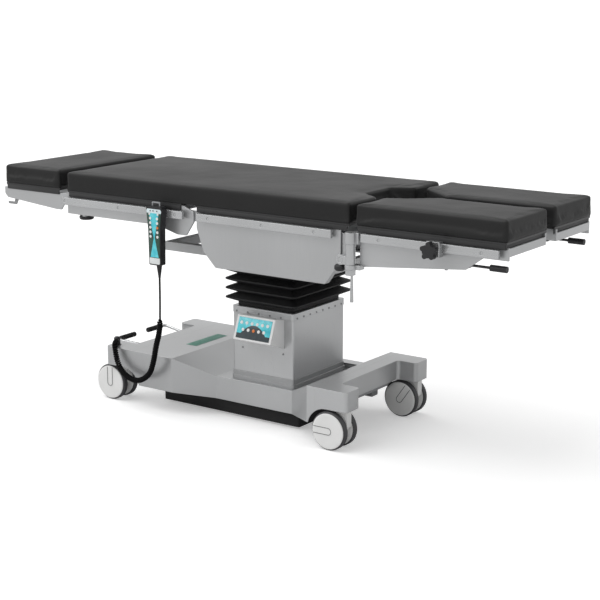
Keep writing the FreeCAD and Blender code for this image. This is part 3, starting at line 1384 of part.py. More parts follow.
for name, side in SIDES:
    nodes[f"leg_yoke_{name}"] = leg_yoke(side)
    nodes[f"leg_frame_{name}"] = leg_frame(side)
    nodes[f"leg_rail_{name}"] = leg_rail(side)
    nodes[f"leg_pad_{name}"] = leg_pad(side)
    nodes[f"leg_lock_{name}"] = leg_lock(side)
    nodes[f"leg_knob_{name}"] = leg_knob(side)
    nodes[f"leg_lever_{name}"] = leg_lever(side)

# Section: clamp on the near leg rail

clamp_out = d.leg_plate_out + d.rail_standoff + d.rail_thick + d.clamp_gap + d.clamp_wall
clamp_in = d.leg_plate_out + d.rail_standoff - d.clamp_gap - d.clamp_wall
clamp_knob_z = rail_low + d.rail_height / 4
knob_face = clamp_out + d.clamp_knob_gap


def rail_clamp():
    """An accessory clamp: a block round the rail with a threaded boss for the star knob."""
    gap = d.clamp_gap
    x = about(d.clamp_x, d.clamp_width / 2)
    plan = rectangle(x, across(-1, clamp_in, clamp_out))
    body = Piece().pad("XY", plan, (d.clamp_low, d.clamp_top)).round(d.clamp_round, "Z").body
    rail_span = across(-1, rail_face_in - gap, rail_face_in + d.rail_thick + gap)
    slot = block(x, rail_span, (rail_low - gap, d.rail_top + gap))
    screw = bar("Y", (d.clamp_x, clamp_knob_z), d.clamp_screw_radius + d.fit_gap,
                across(-1, rail_face_in + d.rail_thick + gap, clamp_out))
    return cut(body, slot, screw)


rail_face_in = d.leg_plate_out + d.rail_standoff
nodes["rail_clamp"] = rail_clamp()


def star_knob():
    """A star knob of five lobes round a core, on its clamping screw."""
    near, far = -(knob_face + d.clamp_knob_thick), -knob_face
    core = bar("Y", (d.clamp_x, clamp_knob_z), d.clamp_knob_radius - d.lobe_radius, (near, far))
    reach = d.clamp_knob_radius - d.lobe_radius
    lobes = []
    for number in range(LOBES):
        turn = math.radians(90 + 360 / LOBES * number)
        centre = (d.clamp_x + reach * math.cos(turn), clamp_knob_z + reach * math.sin(turn))
        lobes.append(bar("Y", centre, d.lobe_radius, (near, far)))
    neck = bar("Y", (d.clamp_x, clamp_knob_z), d.clamp_screw_radius * 2, (far, -clamp_out - d.hinge_gap))
    tip = rail_face_in + d.rail_thick + d.clamp_gap
    screw = bar("Y", (d.clamp_x, clamp_knob_z), d.clamp_screw_radius, (far, -tip))
    return fuse(core, *lobes, neck, screw)


LOBES = 5
nodes["clamp_knob"] = star_knob()

# Section: hand control, cord and socket


def pendant_case():
    """The waisted hand control with a hook over the back rail and a strain relief below."""
    x = d.pendant_x
    half_outline = [
        (d.pendant_low_half, d.pendant_low), (d.pendant_waist_half, d.pendant_waist_z),
        (d.pendant_top_half, d.pendant_top - d.pendant_shoulder), (d.pendant_top_half - d.pendant_shoulder, d.pendant_top),
    ]
    outline = [(x + reach, z) for reach, z in half_outline] + [(x - reach, z) for reach, z in half_outline[::-1]]
    case = Piece().pad("XZ", outline, (-d.pendant_face, -d.pendant_back)).round(d.pendant_round, "Y")
    hook_x = about(x, d.hook_width / 2)
    over = d.rail_top + d.hinge_gap
    behind = rail_in - d.hinge_gap
    bridge = block(hook_x, across(-1, behind - d.hook_thick, d.pendant_back), (over, over + d.hook_thick))
    drop = block(hook_x, across(-1, behind - d.hook_thick, behind), (over - d.hook_drop, over))
    bow = Piece().pad("XZ", rectangle(hook_x, (d.pendant_top, d.pendant_top + d.bow_height)), bow_span)
    bow.round(d.pendant_round, "Y", above(d.pendant_top + d.pendant_round))
    hole = block(about(x, d.hook_width / 2 - d.pendant_round), bow_span,
                 (d.pendant_top, d.pendant_top + d.bow_height - d.pendant_round))
    relief = cone("Z", (d.cord_x, -cord_y), (d.relief_end_radius, d.relief_radius), (d.relief_low, d.pendant_low))
    return fuse(case.body, bridge, drop, cut(bow.body, hole), relief)


cord_y = (d.pendant_face + d.pendant_back) / 2
bow_span = (-cord_y - d.hook_thick, -cord_y + d.hook_thick)
nodes["pendant_case"] = pendant_case()


def pendant_keypad():
    """The membrane keypad: a waisted plate with two columns of keys and a middle row."""
    x = d.pendant_x
    inset = d.keypad_margin
    face = d.pendant_face
    outline = []
    for reach, z in ((d.pendant_low_half, d.pendant_low + d.keypad_foot), (d.pendant_waist_half, d.pendant_waist_z),
                     (d.pendant_top_half, d.pendant_top - d.keypad_head)):
        outline.append((reach - inset, z))
    outline = [(x + reach, z) for reach, z in outline] + [(x - reach, z) for reach, z in outline[::-1]]
    parts = [prism("XZ", outline, (-face - d.keypad_thick, -face))]
    pitch = (d.pendant_top - d.keypad_head - d.pendant_low - d.keypad_foot) / KEY_ROWS
    for row in range(KEY_ROWS):
        z = d.pendant_low + d.keypad_foot + pitch * (row + 0.5)
        for column in (-1, 1):
            key_x = x + d.key_spread * column
            span = (-face - d.keypad_thick - d.key_proud, -face - d.keypad_thick)
            parts.append(block(about(key_x, d.key_half), span, about(z, d.key_half * KEY_RISE)))
    return fuse(*parts)


KEY_ROWS = 6
KEY_RISE = 0.8
nodes["pendant_keypad"] = pendant_keypad()

# The cord's route, chosen by hand: straight down from the strain relief, then curly, in one bight
# beside the base, up over its near edge and into the socket on the deck.
CORD_STRAIGHT = [(-251, -301.5, 482), (-251, -301.5, 412), (-253, -302, 345)]
CORD_COIL = [
    (-253, -302, 345), (-254.2, -302.3, 304), (-283, -291, 244), (-299, -285, 189), (-319, -285, 136),
    (-379, -283, 102), (-450, -274, 120), (-483, -265, 160), (-491, -263, 196), (-503, -252, 214), (-521, -223, 212),
]


def cord_socket():
    """A round housing on the deck with a nozzle that the curly cord leaves from."""
    mouth = FreeCAD.Vector(*CORD_COIL[-1])
    before = FreeCAD.Vector(*CORD_COIL[-2])
    heading = (mouth - before).normalize()
    centre = mouth + heading * d.socket_reach.number
    x, y = centre.x, centre.y
    top = centre.z + d.socket_nozzle.number + d.socket_crown.number
    crown = d.socket_crown.number
    radius = d.socket_radius.number
    low = d.deck_high.number
    foot = Part.makeCone(radius + crown, radius, crown, FreeCAD.Vector(x, y, low))
    barrel = Part.makeCylinder(radius, top - low - crown * 2, FreeCAD.Vector(x, y, low + crown))
    cap = Part.makeCone(radius, radius - crown, crown, FreeCAD.Vector(x, y, top - crown))
    nozzle = Part.makeCylinder(d.socket_nozzle.number, d.socket_reach.number, mouth, heading)
    thing = doc.addObject("Part::Feature", "socket")
    thing.Shape = foot.fuse([barrel, cap, nozzle]).removeSplitter()
    return thing


nodes["cord_socket"] = cord_socket()
nodes["cord"] = tube(CORD_STRAIGHT, d.cord_radius, "cord")
nodes["cord_coil"] = tube(CORD_COIL, d.coil_radius, "curly cord")

# Section: labels, checks and files

doc.recompute()
for name, thing in nodes.items():
    thing.Label = name
doc.recompute()
for thing in doc.Objects:
    if "Invalid" in thing.State or "Error" in thing.State:
        raise ValueError(f"{thing.Name} ({thing.Label}) did not build")
for name, thing in nodes.items():
    shape = thing.Shape
    if shape.isNull() or not shape.isValid() or not shape.Solids:
        raise ValueError(f"{name} has no valid solid")
    if thing.Label != name:
        raise ValueError(f"{name} is labelled {thing.Label}")

os.makedirs("parts", exist_ok=True)
for name, thing in nodes.items():
    thing.Shape.exportStep(f"parts/{name}.step")
print(len(nodes), "sub-parts,", sum(len(thing.Shape.Solids) for thing in nodes.values()), "solids")
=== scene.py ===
import bmesh
import bpy
import math
from mathutils import Matrix, Vector


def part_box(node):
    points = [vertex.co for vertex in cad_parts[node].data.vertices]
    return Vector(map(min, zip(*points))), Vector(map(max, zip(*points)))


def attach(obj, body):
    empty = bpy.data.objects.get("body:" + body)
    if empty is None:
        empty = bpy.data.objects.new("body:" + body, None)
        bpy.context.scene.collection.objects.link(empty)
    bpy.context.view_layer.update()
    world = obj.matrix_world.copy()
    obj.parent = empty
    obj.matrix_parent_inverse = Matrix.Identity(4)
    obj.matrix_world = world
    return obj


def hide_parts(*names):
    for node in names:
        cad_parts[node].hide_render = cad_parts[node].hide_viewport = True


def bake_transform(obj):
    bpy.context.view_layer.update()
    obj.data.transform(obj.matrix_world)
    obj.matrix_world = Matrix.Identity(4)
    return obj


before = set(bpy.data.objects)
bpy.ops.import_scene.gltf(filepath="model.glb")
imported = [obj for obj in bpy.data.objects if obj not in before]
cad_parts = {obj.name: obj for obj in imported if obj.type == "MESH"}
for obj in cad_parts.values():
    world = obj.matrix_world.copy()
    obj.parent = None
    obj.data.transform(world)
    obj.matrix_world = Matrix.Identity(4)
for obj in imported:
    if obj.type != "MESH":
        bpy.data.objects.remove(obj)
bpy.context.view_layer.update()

# The place that the table stands in: a pale floor, a soft lamp high on the head side, an even
# white room around it, and the camera low at the foot end of the near side.
ROOM_GREY = 0.46
LAMP_STRENGTH = 1.9
LAMP_SPREAD = 70
FLOOR_WHITE = 0.90
FLOOR_GLOW = 0.36
scene = bpy.context.scene
scene.view_settings.view_transform = "Standard"
camera = bpy.data.objects.new("camera", bpy.data.cameras.new("camera"))
scene.collection.objects.link(camera)
camera.location = (2.8305, -3.8929, 1.4917)
camera.rotation_euler = (math.radians(90 - 12.95), 0, math.radians(35.06))
camera.data.lens = 88.30
camera.data.sensor_fit = "HORIZONTAL"
camera.data.sensor_width = 36
camera.data.clip_end = 300
scene.camera = camera

lamp = bpy.data.objects.new("lamp", bpy.data.lights.new("lamp", "SUN"))
scene.collection.objects.link(lamp)
lamp.rotation_euler = Vector((-0.50, -0.30, 0.81)).to_track_quat("Z", "Y").to_euler()
lamp.data.energy = LAMP_STRENGTH
lamp.data.angle = math.radians(LAMP_SPREAD)


def seen_as_white(tree, lit, white_strength):
    """Mixes a plain white in for rays from the camera, mirrors and glass, over what lights the scene."""
    rays = tree.nodes.new("ShaderNodeLightPath")
    either = tree.nodes.new("ShaderNodeMath")
    either.operation = "MAXIMUM"
    tree.links.new(rays.outputs["Is Camera Ray"], either.inputs[0])
    tree.links.new(rays.outputs["Is Glossy Ray"], either.inputs[1])
    clear = tree.nodes.new("ShaderNodeMath")
    clear.operation = "MAXIMUM"
    tree.links.new(either.outputs[0], clear.inputs[0])
    tree.links.new(rays.outputs["Is Transmission Ray"], clear.inputs[1])
    white = tree.nodes.new("ShaderNodeBackground")
    white.inputs["Color"].default_value = (1, 1, 1, 1)
    white.inputs["Strength"].default_value = white_strength
    mix = tree.nodes.new("ShaderNodeMixShader")
    tree.links.new(clear.outputs[0], mix.inputs["Fac"])
    tree.links.new(lit, mix.inputs[1])
    tree.links.new(white.outputs[0], mix.inputs[2])
    return mix


room = bpy.data.worlds.new("room")
scene.world = room
room.use_nodes = True
ambient = room.node_tree.nodes["Background"]
ambient.inputs["Color"].default_value = (1, 1, 1, 1)
ambient.inputs["Strength"].default_value = ROOM_GREY
mixed = seen_as_white(room.node_tree, ambient.outputs["Background"], 1.0)
room.node_tree.links.new(mixed.outputs["Shader"], room.node_tree.nodes["World Output"].inputs["Surface"])

bpy.ops.object.select_all(action="DESELECT")
bpy.ops.mesh.primitive_grid_add(x_subdivisions=8, y_subdivisions=8, size=240)
floor = bpy.context.object
floor.name = "floor"
floor_paint = bpy.data.materials.new("pale floor")
floor_paint.use_nodes = True
floor_shader = floor_paint.node_tree.nodes["Principled BSDF"]
floor_shader.inputs["Base Color"].default_value = (FLOOR_WHITE, FLOOR_WHITE, FLOOR_WHITE, 1)
floor_shader.inputs["Roughness"].default_value = 0.9
floor_shader.inputs["Specular IOR Level"].default_value = 0.1
glow = floor_paint.node_tree.nodes.new("ShaderNodeEmission")
glow.inputs["Strength"].default_value = FLOOR_GLOW
camera_only = floor_paint.node_tree.nodes.new("ShaderNodeLightPath")
lifted = floor_paint.node_tree.nodes.new("ShaderNodeAddShader")
chosen = floor_paint.node_tree.nodes.new("ShaderNodeMixShader")
wire = floor_paint.node_tree.links.new
wire(floor_shader.outputs["BSDF"], lifted.inputs[0])
wire(glow.outputs["Emission"], lifted.inputs[1])
wire(camera_only.outputs["Is Camera Ray"], chosen.inputs["Fac"])
wire(floor_shader.outputs["BSDF"], chosen.inputs[1])
wire(lifted.outputs["Shader"], chosen.inputs[2])
wire(chosen.outputs["Shader"], floor_paint.node_tree.nodes["Material Output"].inputs["Surface"])
floor.data.materials.append(floor_paint)


# The cord of the hand control: a smooth lead straight down, then a curly one wound from the same
# cord, which hangs in a bight beside the base and ends in the socket on the deck.
CORD_LINE = [(-0.251, -0.3015, 0.482), (-0.251, -0.3015, 0.412), (-0.253, -0.302, 0.345)]
CURLY_LINE = [
    (-0.253, -0.302, 0.345), (-0.2542, -0.3023, 0.304), (-0.283, -0.291, 0.244), (-0.299, -0.285, 0.189),
    (-0.319, -0.285, 0.136), (-0.379, -0.283, 0.102), (-0.450, -0.274, 0.120), (-0.483, -0.265, 0.160),
    (-0.491, -0.263, 0.196), (-0.503, -0.252, 0.214), (-0.521, -0.223, 0.212),
]
CORD_THICK = 0.0066
CURL_RADIUS = 0.0068
CURL_PITCH = 0.0076
CURL_POINTS = 12


def smooth_curve(name, points, resolution, thick=0.0):
    """One open NURBS spline through the air, with a round section if it is given a thickness."""
    line = bpy.data.curves.new(name, "CURVE")
    line.dimensions = "3D"
    spline = line.splines.new("NURBS")
    spline.points.add(len(points) - 1)
    for point, place in zip(spline.points, points):
        point.co = (*place, 1)
        point.radius = thick / 2
    spline.order_u = 3
    spline.use_endpoint_u = True
    line.resolution_u = resolution
    line.bevel_depth = 1.0 if thick else 0.0
    line.bevel_resolution = 2
    line.use_fill_caps = True
    piece = bpy.data.objects.new(name, line)
    scene.collection.objects.link(piece)
    return piece


def spline_places(points):
    """The places that a route's NURBS spline passes, in order, and how far along each is."""
    guide = smooth_curve("guide", points, 48)
    drawn = bpy.data.meshes.new_from_object(guide)
    places = [v.co.copy() for v in drawn.vertices]
    bpy.data.objects.remove(guide)
    along = [0.0]
    for first, second in zip(places, places[1:]):
        along.append(along[-1] + (second - first).length)
    return places, along


def curl(points):
    """The winding of a curly cord around a route: it opens from the route's line and closes to it."""
    places, along = spline_places(points)
    step = CURL_PITCH / CURL_POINTS
    count = int(along[-1] / step)
    side = Vector((0, 1, 0))
    wound = []
    index = 0
    for number in range(count + 1):
        distance = min(number * step, along[-1] - 1e-6)
        while along[index + 1] < distance:
            index += 1
        share = (distance - along[index]) / (along[index + 1] - along[index])
        centre = places[index].lerp(places[index + 1], share)
        heading = (places[index + 1] - places[index]).normalized()
        side = (side - heading * side.dot(heading)).normalized()
        other = heading.cross(side)
        ends = min(number, count - number) / (CURL_POINTS * 1.5)
        radius = CURL_RADIUS * min(1.0, ends)
        angle = 2 * math.pi * number / CURL_POINTS
        wound.append(centre + side * radius * math.cos(angle) + other * radius * math.sin(angle))
    return wound


winding = curl(CURLY_LINE)
whole_cord = CORD_LINE[:-1] + winding
cord = smooth_curve("curly_cord", whole_cord, 2, CORD_THICK)
cord_along = spline_places(whole_cord)[1]
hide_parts("cord", "cord_coil")
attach(cord, "base")


def shade(written):
    """A colour as it is written for a screen, in the linear numbers that a shader takes."""
    parts = [int(written[i:i + 2], 16) / 255 for i in (0, 2, 4)]
    return (*[c / 12.92 if c <= 0.04045 else ((c + 0.055) / 1.055) ** 2.4 for c in parts], 1.0)


def finish(name, metallic=0.0, specular=0.5, coat=0.0):
    """A new material with the numbers that are the same all over its surface."""
    made = bpy.data.materials.new(name)
    made.use_nodes = True
    shader = made.node_tree.nodes["Principled BSDF"]
    shader.inputs["Metallic"].default_value = metallic
    shader.inputs["Specular IOR Level"].default_value = specular
    shader.inputs["Coat Weight"].default_value = coat
    return made


def feed(made, taker, sockets):
    """Gives a node's sockets numbers, or links them to other nodes' outputs."""
    for name, value in sockets.items():
        if isinstance(value, bpy.types.NodeSocket):
            made.node_tree.links.new(value, taker.inputs[name])
        else:
            taker.inputs[name].default_value = value


def add(made, kind, sockets=(), out=0, **settings):
    """One shader node with its settings and what feeds it; gives one of its outputs."""
    grown = made.node_tree.nodes.new("ShaderNode" + kind)
    for name, value in settings.items():
        setattr(grown, name, value)
    feed(made, grown, dict(sockets))
    return grown.outputs[out]


def place(made, scale=(1, 1, 1), offset=(0, 0, 0), turn=(0, 0, 0)):
    """The piece's own coordinates, stretched, moved or turned."""
    where = add(made, "TexCoord", out="Object")
    return add(made, "Mapping", {"Vector": where, "Scale": scale, "Location": offset, "Rotation": turn})


def noise(made, where, scale, detail=3.0, rough=0.5):
    """Soft noise between 0 and 1 at a place."""
    sockets = {"Vector": where, "Scale": scale, "Detail": detail, "Roughness": rough}
    return add(made, "TexNoise", sockets, out="Fac")


def ramp(made, factor, stops):
    """Colours or greys by a factor: each stop is a place and a colour."""
    grown = made.node_tree.nodes.new("ShaderNodeValToRGB")
    feed(made, grown, {"Fac": factor})
    band = grown.color_ramp
    while len(band.elements) < len(stops):
        band.elements.new(0.5)
    for element, (position, colour) in zip(band.elements, stops):
        element.position = position
        element.color = colour if not isinstance(colour, float) else (colour, colour, colour, 1)
    return grown.outputs["Color"]


def blend_colours(made, factor, first, second, kind="MIX"):
    """Two colours mixed by a factor."""
    return add(made, "MixRGB", {"Fac": factor, "Color1": first, "Color2": second}, blend_type=kind)


def sum_of(made, kind, first, second=0.0):
    """One step of arithmetic on numbers or other nodes' outputs."""
    return add(made, "Math", {0: first, 1: second}, operation=kind)


def bump(made, height, strength, depth, over=None):
    """A fine relief from a height, over the surface or over eased edges."""
    sockets = {"Height": height, "Strength": strength, "Distance": depth}
    if over is not None:
        sockets["Normal"] = over
    return add(made, "Bump", sockets)


def close_finish(made, colour, roughness, normal=None):
    """Feeds a material's colour, gloss and relief to its shader."""
    shader = made.node_tree.nodes["Principled BSDF"]
    sockets = {"Base Color": colour, "Roughness": roughness}
    if normal is not None:
        sockets["Normal"] = normal
    feed(made, shader, sockets)
    return made


def moulded(name, light, dark, low, high, specular=0.5, grain=420.0, strength=0.12, coat=0.0):
    """Moulded plastic or rubber: a fine matt grain, and faint uneven wear in its colour and gloss."""
    made = finish(name, specular=specular, coat=coat)
    fine = noise(made, place(made), grain, 2.0)
    broad = noise(made, place(made), 9.0, 4.0)
    colour = ramp(made, broad, [(0.3, shade(dark)), (0.7, shade(light))])
    gloss = ramp(made, broad, [(0.3, low), (0.7, high)])
    return close_finish(made, colour, gloss, bump(made, fine, strength, 0.0004))


def dress(made, *names):
    """Gives CAD nodes a finish in place of the plain one that they came with."""
    for name in names:
        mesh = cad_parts[name].data
        mesh.materials.clear()
        mesh.materials.append(made)


cord_sheath = moulded("cord sheath", "141415", "0d0d0e", 0.62, 0.78, specular=0.08)
cord.data.materials.append(cord_sheath)
dress(cord_sheath, "cord", "cord_coil")


# The base: one cover of brushed stainless sheet, bent down at its edges and raised under the
# column, on a welded chassis, with a black pan under it.
EASED_EDGE = 0.0022
SHEET_METALLIC = 0.62


def brushed(name, light, dark, stretch, metallic=SHEET_METALLIC, low=0.27, high=0.42, lines=0.015):
    """Brushed stainless sheet: fine lines along one way, soft clouds from handling, and eased edges."""
    made = finish(name, metallic=metallic)
    hair = noise(made, place(made, scale=stretch), 150.0, 3.0, 0.55)
    clouds = noise(made, place(made), 3.2, 1.5)
    base = ramp(made, hair, [(0.1, shade(dark)), (0.9, shade(light))])
    cloudy = ramp(made, clouds, [(0.3, (0.86, 0.86, 0.86, 1)), (0.7, (1.0, 1.0, 1.0, 1))])
    colour = blend_colours(made, 1.0, base, cloudy, "MULTIPLY")
    gloss = ramp(made, hair, [(0.1, low), (0.9, high)])
    eased = add(made, "Bevel", {"Radius": EASED_EDGE}, samples=4)
    return close_finish(made, colour, gloss, bump(made, hair, lines, 0.0002, over=eased))


base_sheet = brushed("brushed base sheet", "bebfc0", "b6b7b8", (0.10, 22, 22))
dress(base_sheet, "base_cover")
chassis_paint = moulded("chassis paint", "8e9092", "7e8082", 0.4, 0.55, grain=260.0)
dress(chassis_paint, "base_chassis")
pan_plastic = moulded("black pan", "1d1d1e", "161617", 0.5, 0.7, specular=0.3)
dress(pan_plastic, "base_tray")

# The strip printed on the deck at the head end: a plain pale teal field with a lighter edge, on a
# thin sheet that is stuck to the steel.
STRIP_LOW = (-0.337, -0.068)
STRIP_HIGH = (-0.292, 0.108)
STRIP_THICK = 0.0006
deck_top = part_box("base_cover")[1].z


def new_piece(kind, name, **options):
    """A primitive with nothing else selected, ready to be shaped."""
    bpy.ops.object.select_all(action="DESELECT")
    getattr(bpy.ops.mesh, f"primitive_{kind}_add")(**options)
    piece = bpy.context.object
    piece.name = name
    piece.data.name = name
    return piece


def apply_modifier(piece, kind, **settings):
    """Puts a modifier on a piece and makes its result the piece's mesh."""
    bpy.ops.object.select_all(action="DESELECT")
    bpy.context.view_layer.objects.active = piece
    piece.select_set(True)
    tool = piece.modifiers.new(kind.lower(), kind)
    for name, value in settings.items():
        setattr(tool, name, value)
    bpy.ops.object.modifier_apply(modifier=tool.name)


def settle(piece, *materials, smooth=35):
    """Puts a shaped piece's place into its mesh, gives it its finishes and smooths its round faces."""
    bpy.ops.object.select_all(action="DESELECT")
    bpy.context.view_layer.objects.active = piece
    piece.select_set(True)
    bpy.ops.object.transform_apply(location=True, rotation=True, scale=True)
    for material in materials:
        piece.data.materials.append(material)
    bpy.ops.object.shade_smooth_by_angle(angle=math.radians(smooth))
    return piece


strip_middle = [(a + b) / 2 for a, b in zip(STRIP_LOW, STRIP_HIGH)]
strip_size = [b - a for a, b in zip(STRIP_LOW, STRIP_HIGH)]
strip = new_piece("cube", "deck_strip", size=1, location=(*strip_middle, deck_top + STRIP_THICK / 2),
                  scale=(*strip_size, STRIP_THICK))
apply_modifier(strip, "BEVEL", width=0.0002, segments=2)
strip_print = finish("teal strip", specular=0.12)
field = add(strip_print, "SeparateXYZ", {"Vector": place(strip_print, offset=(0.3145, -0.020, 0))}, out="X")
edge = sum_of(strip_print, "GREATER_THAN", sum_of(strip_print, "ABSOLUTE", field), 0.0175)
speckle = noise(strip_print, place(strip_print), 160.0)
teal = ramp(strip_print, speckle, [(0.3, shade("6ea292")), (0.7, shade("7bae9e"))])
close_finish(strip_print, blend_colours(strip_print, edge, teal, shade("8fb8ab")), 0.55,
             bump(strip_print, speckle, 0.05, 0.0002))
settle(strip, strip_print)
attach(strip, "base")

# The side box on the far side is closed towards the column by a folded return of the same sheet.
RETURN_LOW = (0.060, 0.1670, 0.139)
RETURN_HIGH = (0.229, 0.1695, 0.156)
folded_return = new_piece("cube", "side_box_return", size=1,
                          location=[(a + b) / 2 for a, b in zip(RETURN_LOW, RETURN_HIGH)],
                          scale=[b - a for a, b in zip(RETURN_LOW, RETURN_HIGH)])
apply_modifier(folded_return, "BEVEL", width=0.0004, segments=2)
settle(folded_return, base_sheet)
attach(folded_return, "base")

# The column's cover: folded stainless sheet with a band of screws round its top, a plain trim round
# its foot, and the console's housing on the near face.
# The column's sheet is painted a little lighter than the same steel on the base: painted light for the
# brighter light on its near face.
lit_column_sheet = brushed("brushed column sheet painted lit", "c4c5c6", "bcbdbe", (22, 22, 0.10), low=0.24, high=0.38)
dress(lit_column_sheet, "column_cover")
foot_trim = brushed("foot trim", "a8a9aa", "9c9d9e", (0.10, 22, 22), low=0.3, high=0.42)
dress(foot_trim, "column_foot_trim")
screw_steel = brushed("screw steel", "8f9091", "7f8081", (9, 9, 9), metallic=0.8)
dress(screw_steel, "column_screws")
housing_sheet = brushed("console housing sheet", "efefef", "e8e8e8", (0.10, 22, 22), metallic=0.08)
dress(housing_sheet, "console_housing")

# The console's panel: a printed membrane on a thin plate, with six white keys over five, of which
# one is orange, each a low dome pressed into the membrane.
PANEL_CENTRE = (0.065, -0.2107, 0.3357)
PANEL_LEAN = math.radians(-20)
PANEL_SIZE = (0.132, 0.0018, 0.069)
KEY_RADIUS = 0.0053
HILL_RISE = 0.030
HILL_FALL = 0.012
BAND_BELOW = 0.018
panel = new_piece("cube", "console_screen", size=1, location=PANEL_CENTRE,
                  rotation=(PANEL_LEAN, 0, 0), scale=PANEL_SIZE)
bpy.ops.object.mode_set(mode="EDIT")
bpy.ops.mesh.select_all(action="SELECT")
bpy.ops.mesh.bevel(offset=0.0006, segments=2)
bpy.ops.object.mode_set(mode="OBJECT")
panel_print = finish("console membrane", specular=0.5, coat=0.3)
turned = place(panel_print)
centred = add(panel_print, "VectorMath", {0: turned, 1: PANEL_CENTRE}, operation="SUBTRACT")
level = add(panel_print, "VectorRotate", {"Vector": centred, "Angle": -PANEL_LEAN}, rotation_type="X_AXIS")
axes = panel_print.node_tree.nodes.new("ShaderNodeSeparateXYZ")
feed(panel_print, axes, {"Vector": level})
hill = sum_of(panel_print, "POWER", sum_of(panel_print, "MULTIPLY", axes.outputs["X"], 32.0), 2.0)
slope = sum_of(panel_print, "SUBTRACT", HILL_RISE, sum_of(panel_print, "MULTIPLY", hill, HILL_FALL))
rise = sum_of(panel_print, "MAXIMUM", slope, 0.0)
horizon = sum_of(panel_print, "SUBTRACT", rise, BAND_BELOW)
ground = sum_of(panel_print, "LESS_THAN", axes.outputs["Z"], horizon)
cloud = noise(panel_print, place(panel_print), 55.0, 2.0)
sky = ramp(panel_print, cloud, [(0.35, shade("35bccb")), (0.65, shade("62d8e2"))])
earth = ramp(panel_print, cloud, [(0.35, shade("1c2a30")), (0.65, shade("27363b"))])
picture = blend_colours(panel_print, ground, sky, earth)
close_finish(panel_print, picture, 0.22, bump(panel_print, cloud, 0.02, 0.0002))
settle(panel, panel_print)
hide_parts("console_panel")
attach(panel, "base")

white_key = moulded("white keys", "f2f2f0", "e6e6e4", 0.3, 0.4, grain=900.0, strength=0.05)
orange_key = moulded("orange key", "e5813a", "d9742f", 0.3, 0.4, grain=900.0, strength=0.05)
key = new_piece("cylinder", "console_keys", vertices=28, radius=KEY_RADIUS, depth=0.0012,
                rotation=(math.pi / 2, 0, 0))
bpy.ops.object.transform_apply(rotation=True)
bpy.ops.object.mode_set(mode="EDIT")
bpy.ops.mesh.select_all(action="DESELECT")
bpy.ops.object.mode_set(mode="OBJECT")
for face in key.data.polygons:
    face.select = face.normal.y < -0.9
bpy.ops.object.mode_set(mode="EDIT")
bpy.ops.mesh.inset(thickness=0.0012)
bpy.ops.transform.translate(value=(0, -0.0005, 0))
bpy.ops.mesh.inset(thickness=0.0018)
bpy.ops.transform.translate(value=(0, -0.0002, 0))
bpy.ops.object.mode_set(mode="OBJECT")
lean = Matrix.Translation(PANEL_CENTRE) @ Matrix.Rotation(PANEL_LEAN, 4, "X")
keys = []
for row, (count, height, pitch) in enumerate(((6, 0.017, 0.0208), (5, -0.0055, 0.0208))):
    for number in range(count):
        across = (number - (count - 1) / 2) * pitch
        pressed = key.copy()
        pressed.data = key.data.copy()
        pressed.data.transform(lean @ Matrix.Translation((across, -PANEL_SIZE[1] / 2 - 0.0005, height)))
        pressed.data.materials.append(orange_key if (row, number) == (1, 2) else white_key)
        scene.collection.objects.link(pressed)
        keys.append(pressed)
bpy.data.objects.remove(key)
bpy.ops.object.select_all(action="DESELECT")
for pressed in keys:
    pressed.select_set(True)
bpy.context.view_layer.objects.active = keys[0]
bpy.ops.object.join()
console_keys = bpy.context.object
console_keys.name = "console_keys"
settle(console_keys)
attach(console_keys, "base")

# The castors: a white moulded body between twin wheels with dark treads, and white discs pressed
# on outside, each with a U-shaped slot in it.
body_white = moulded("castor white", "ededec", "e2e2e1", 0.32, 0.45)
dress(body_white, *[f"castor_housing_{number}" for number in range(1, 5)])
CORE_RADIUS = 0.0575
for number in range(1, 5):
    low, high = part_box(f"castor_wheels_{number}")
    axle = (low + high) / 2
    tyre = moulded(f"wheel core and tread {number}", "4a4a4c", "3d3d3f", 0.5, 0.65, specular=0.35)
    from_axle = place(tyre, scale=(1, 0, 1), offset=(-axle.x, 0, -axle.z))
    out_from_axle = add(tyre, "VectorMath", {0: from_axle}, out="Value", operation="LENGTH")
    in_core = sum_of(tyre, "LESS_THAN", out_from_axle, CORE_RADIUS)
    tyre_shader = tyre.node_tree.nodes["Principled BSDF"]
    rubber = tyre_shader.inputs["Base Color"].links[0].from_socket
    feed(tyre, tyre_shader, {"Base Color": blend_colours(tyre, in_core, rubber, shade("e9e9e8"))})
    dress(tyre, f"castor_wheels_{number}")
disc_white = moulded("disc white", "f0f0ef", "e6e6e5", 0.28, 0.4, strength=0.06)
# The slot is a thin grey tube laid on each disc: painted shade of the slot's opening.
slot_shade = moulded("painted slot shade", "6d6d6e", "5c5c5d", 0.5, 0.6)
DISC_RADIUS = 0.0573
SLOT_HALF = 0.011
SLOT_FOOT = -0.002
disc = new_piece("cylinder", "disc", vertices=72, radius=DISC_RADIUS, depth=0.0024,
                 rotation=(math.pi / 2, 0, 0))
bpy.ops.object.transform_apply(rotation=True)
bpy.ops.object.mode_set(mode="EDIT")
bpy.ops.mesh.select_all(action="DESELECT")
bpy.ops.object.mode_set(mode="OBJECT")
for face in disc.data.polygons:
    face.select = face.normal.y < -0.9
bpy.ops.object.mode_set(mode="EDIT")
bpy.ops.mesh.inset(thickness=0.0012)
bpy.ops.transform.translate(value=(0, -0.0008, 0))
bpy.ops.mesh.inset(thickness=0.004)
bpy.ops.transform.translate(value=(0, -0.0004, 0))
bpy.ops.mesh.inset(thickness=0.006)
bpy.ops.transform.translate(value=(0, 0.0002, 0))
bpy.ops.object.mode_set(mode="OBJECT")
settle(disc, disc_white)
loop = new_piece("circle", "slot", vertices=24, radius=SLOT_HALF, location=(0, -0.0026, SLOT_FOOT),
                 rotation=(math.pi / 2, 0, 0))
bpy.ops.object.transform_apply(location=True, rotation=True)
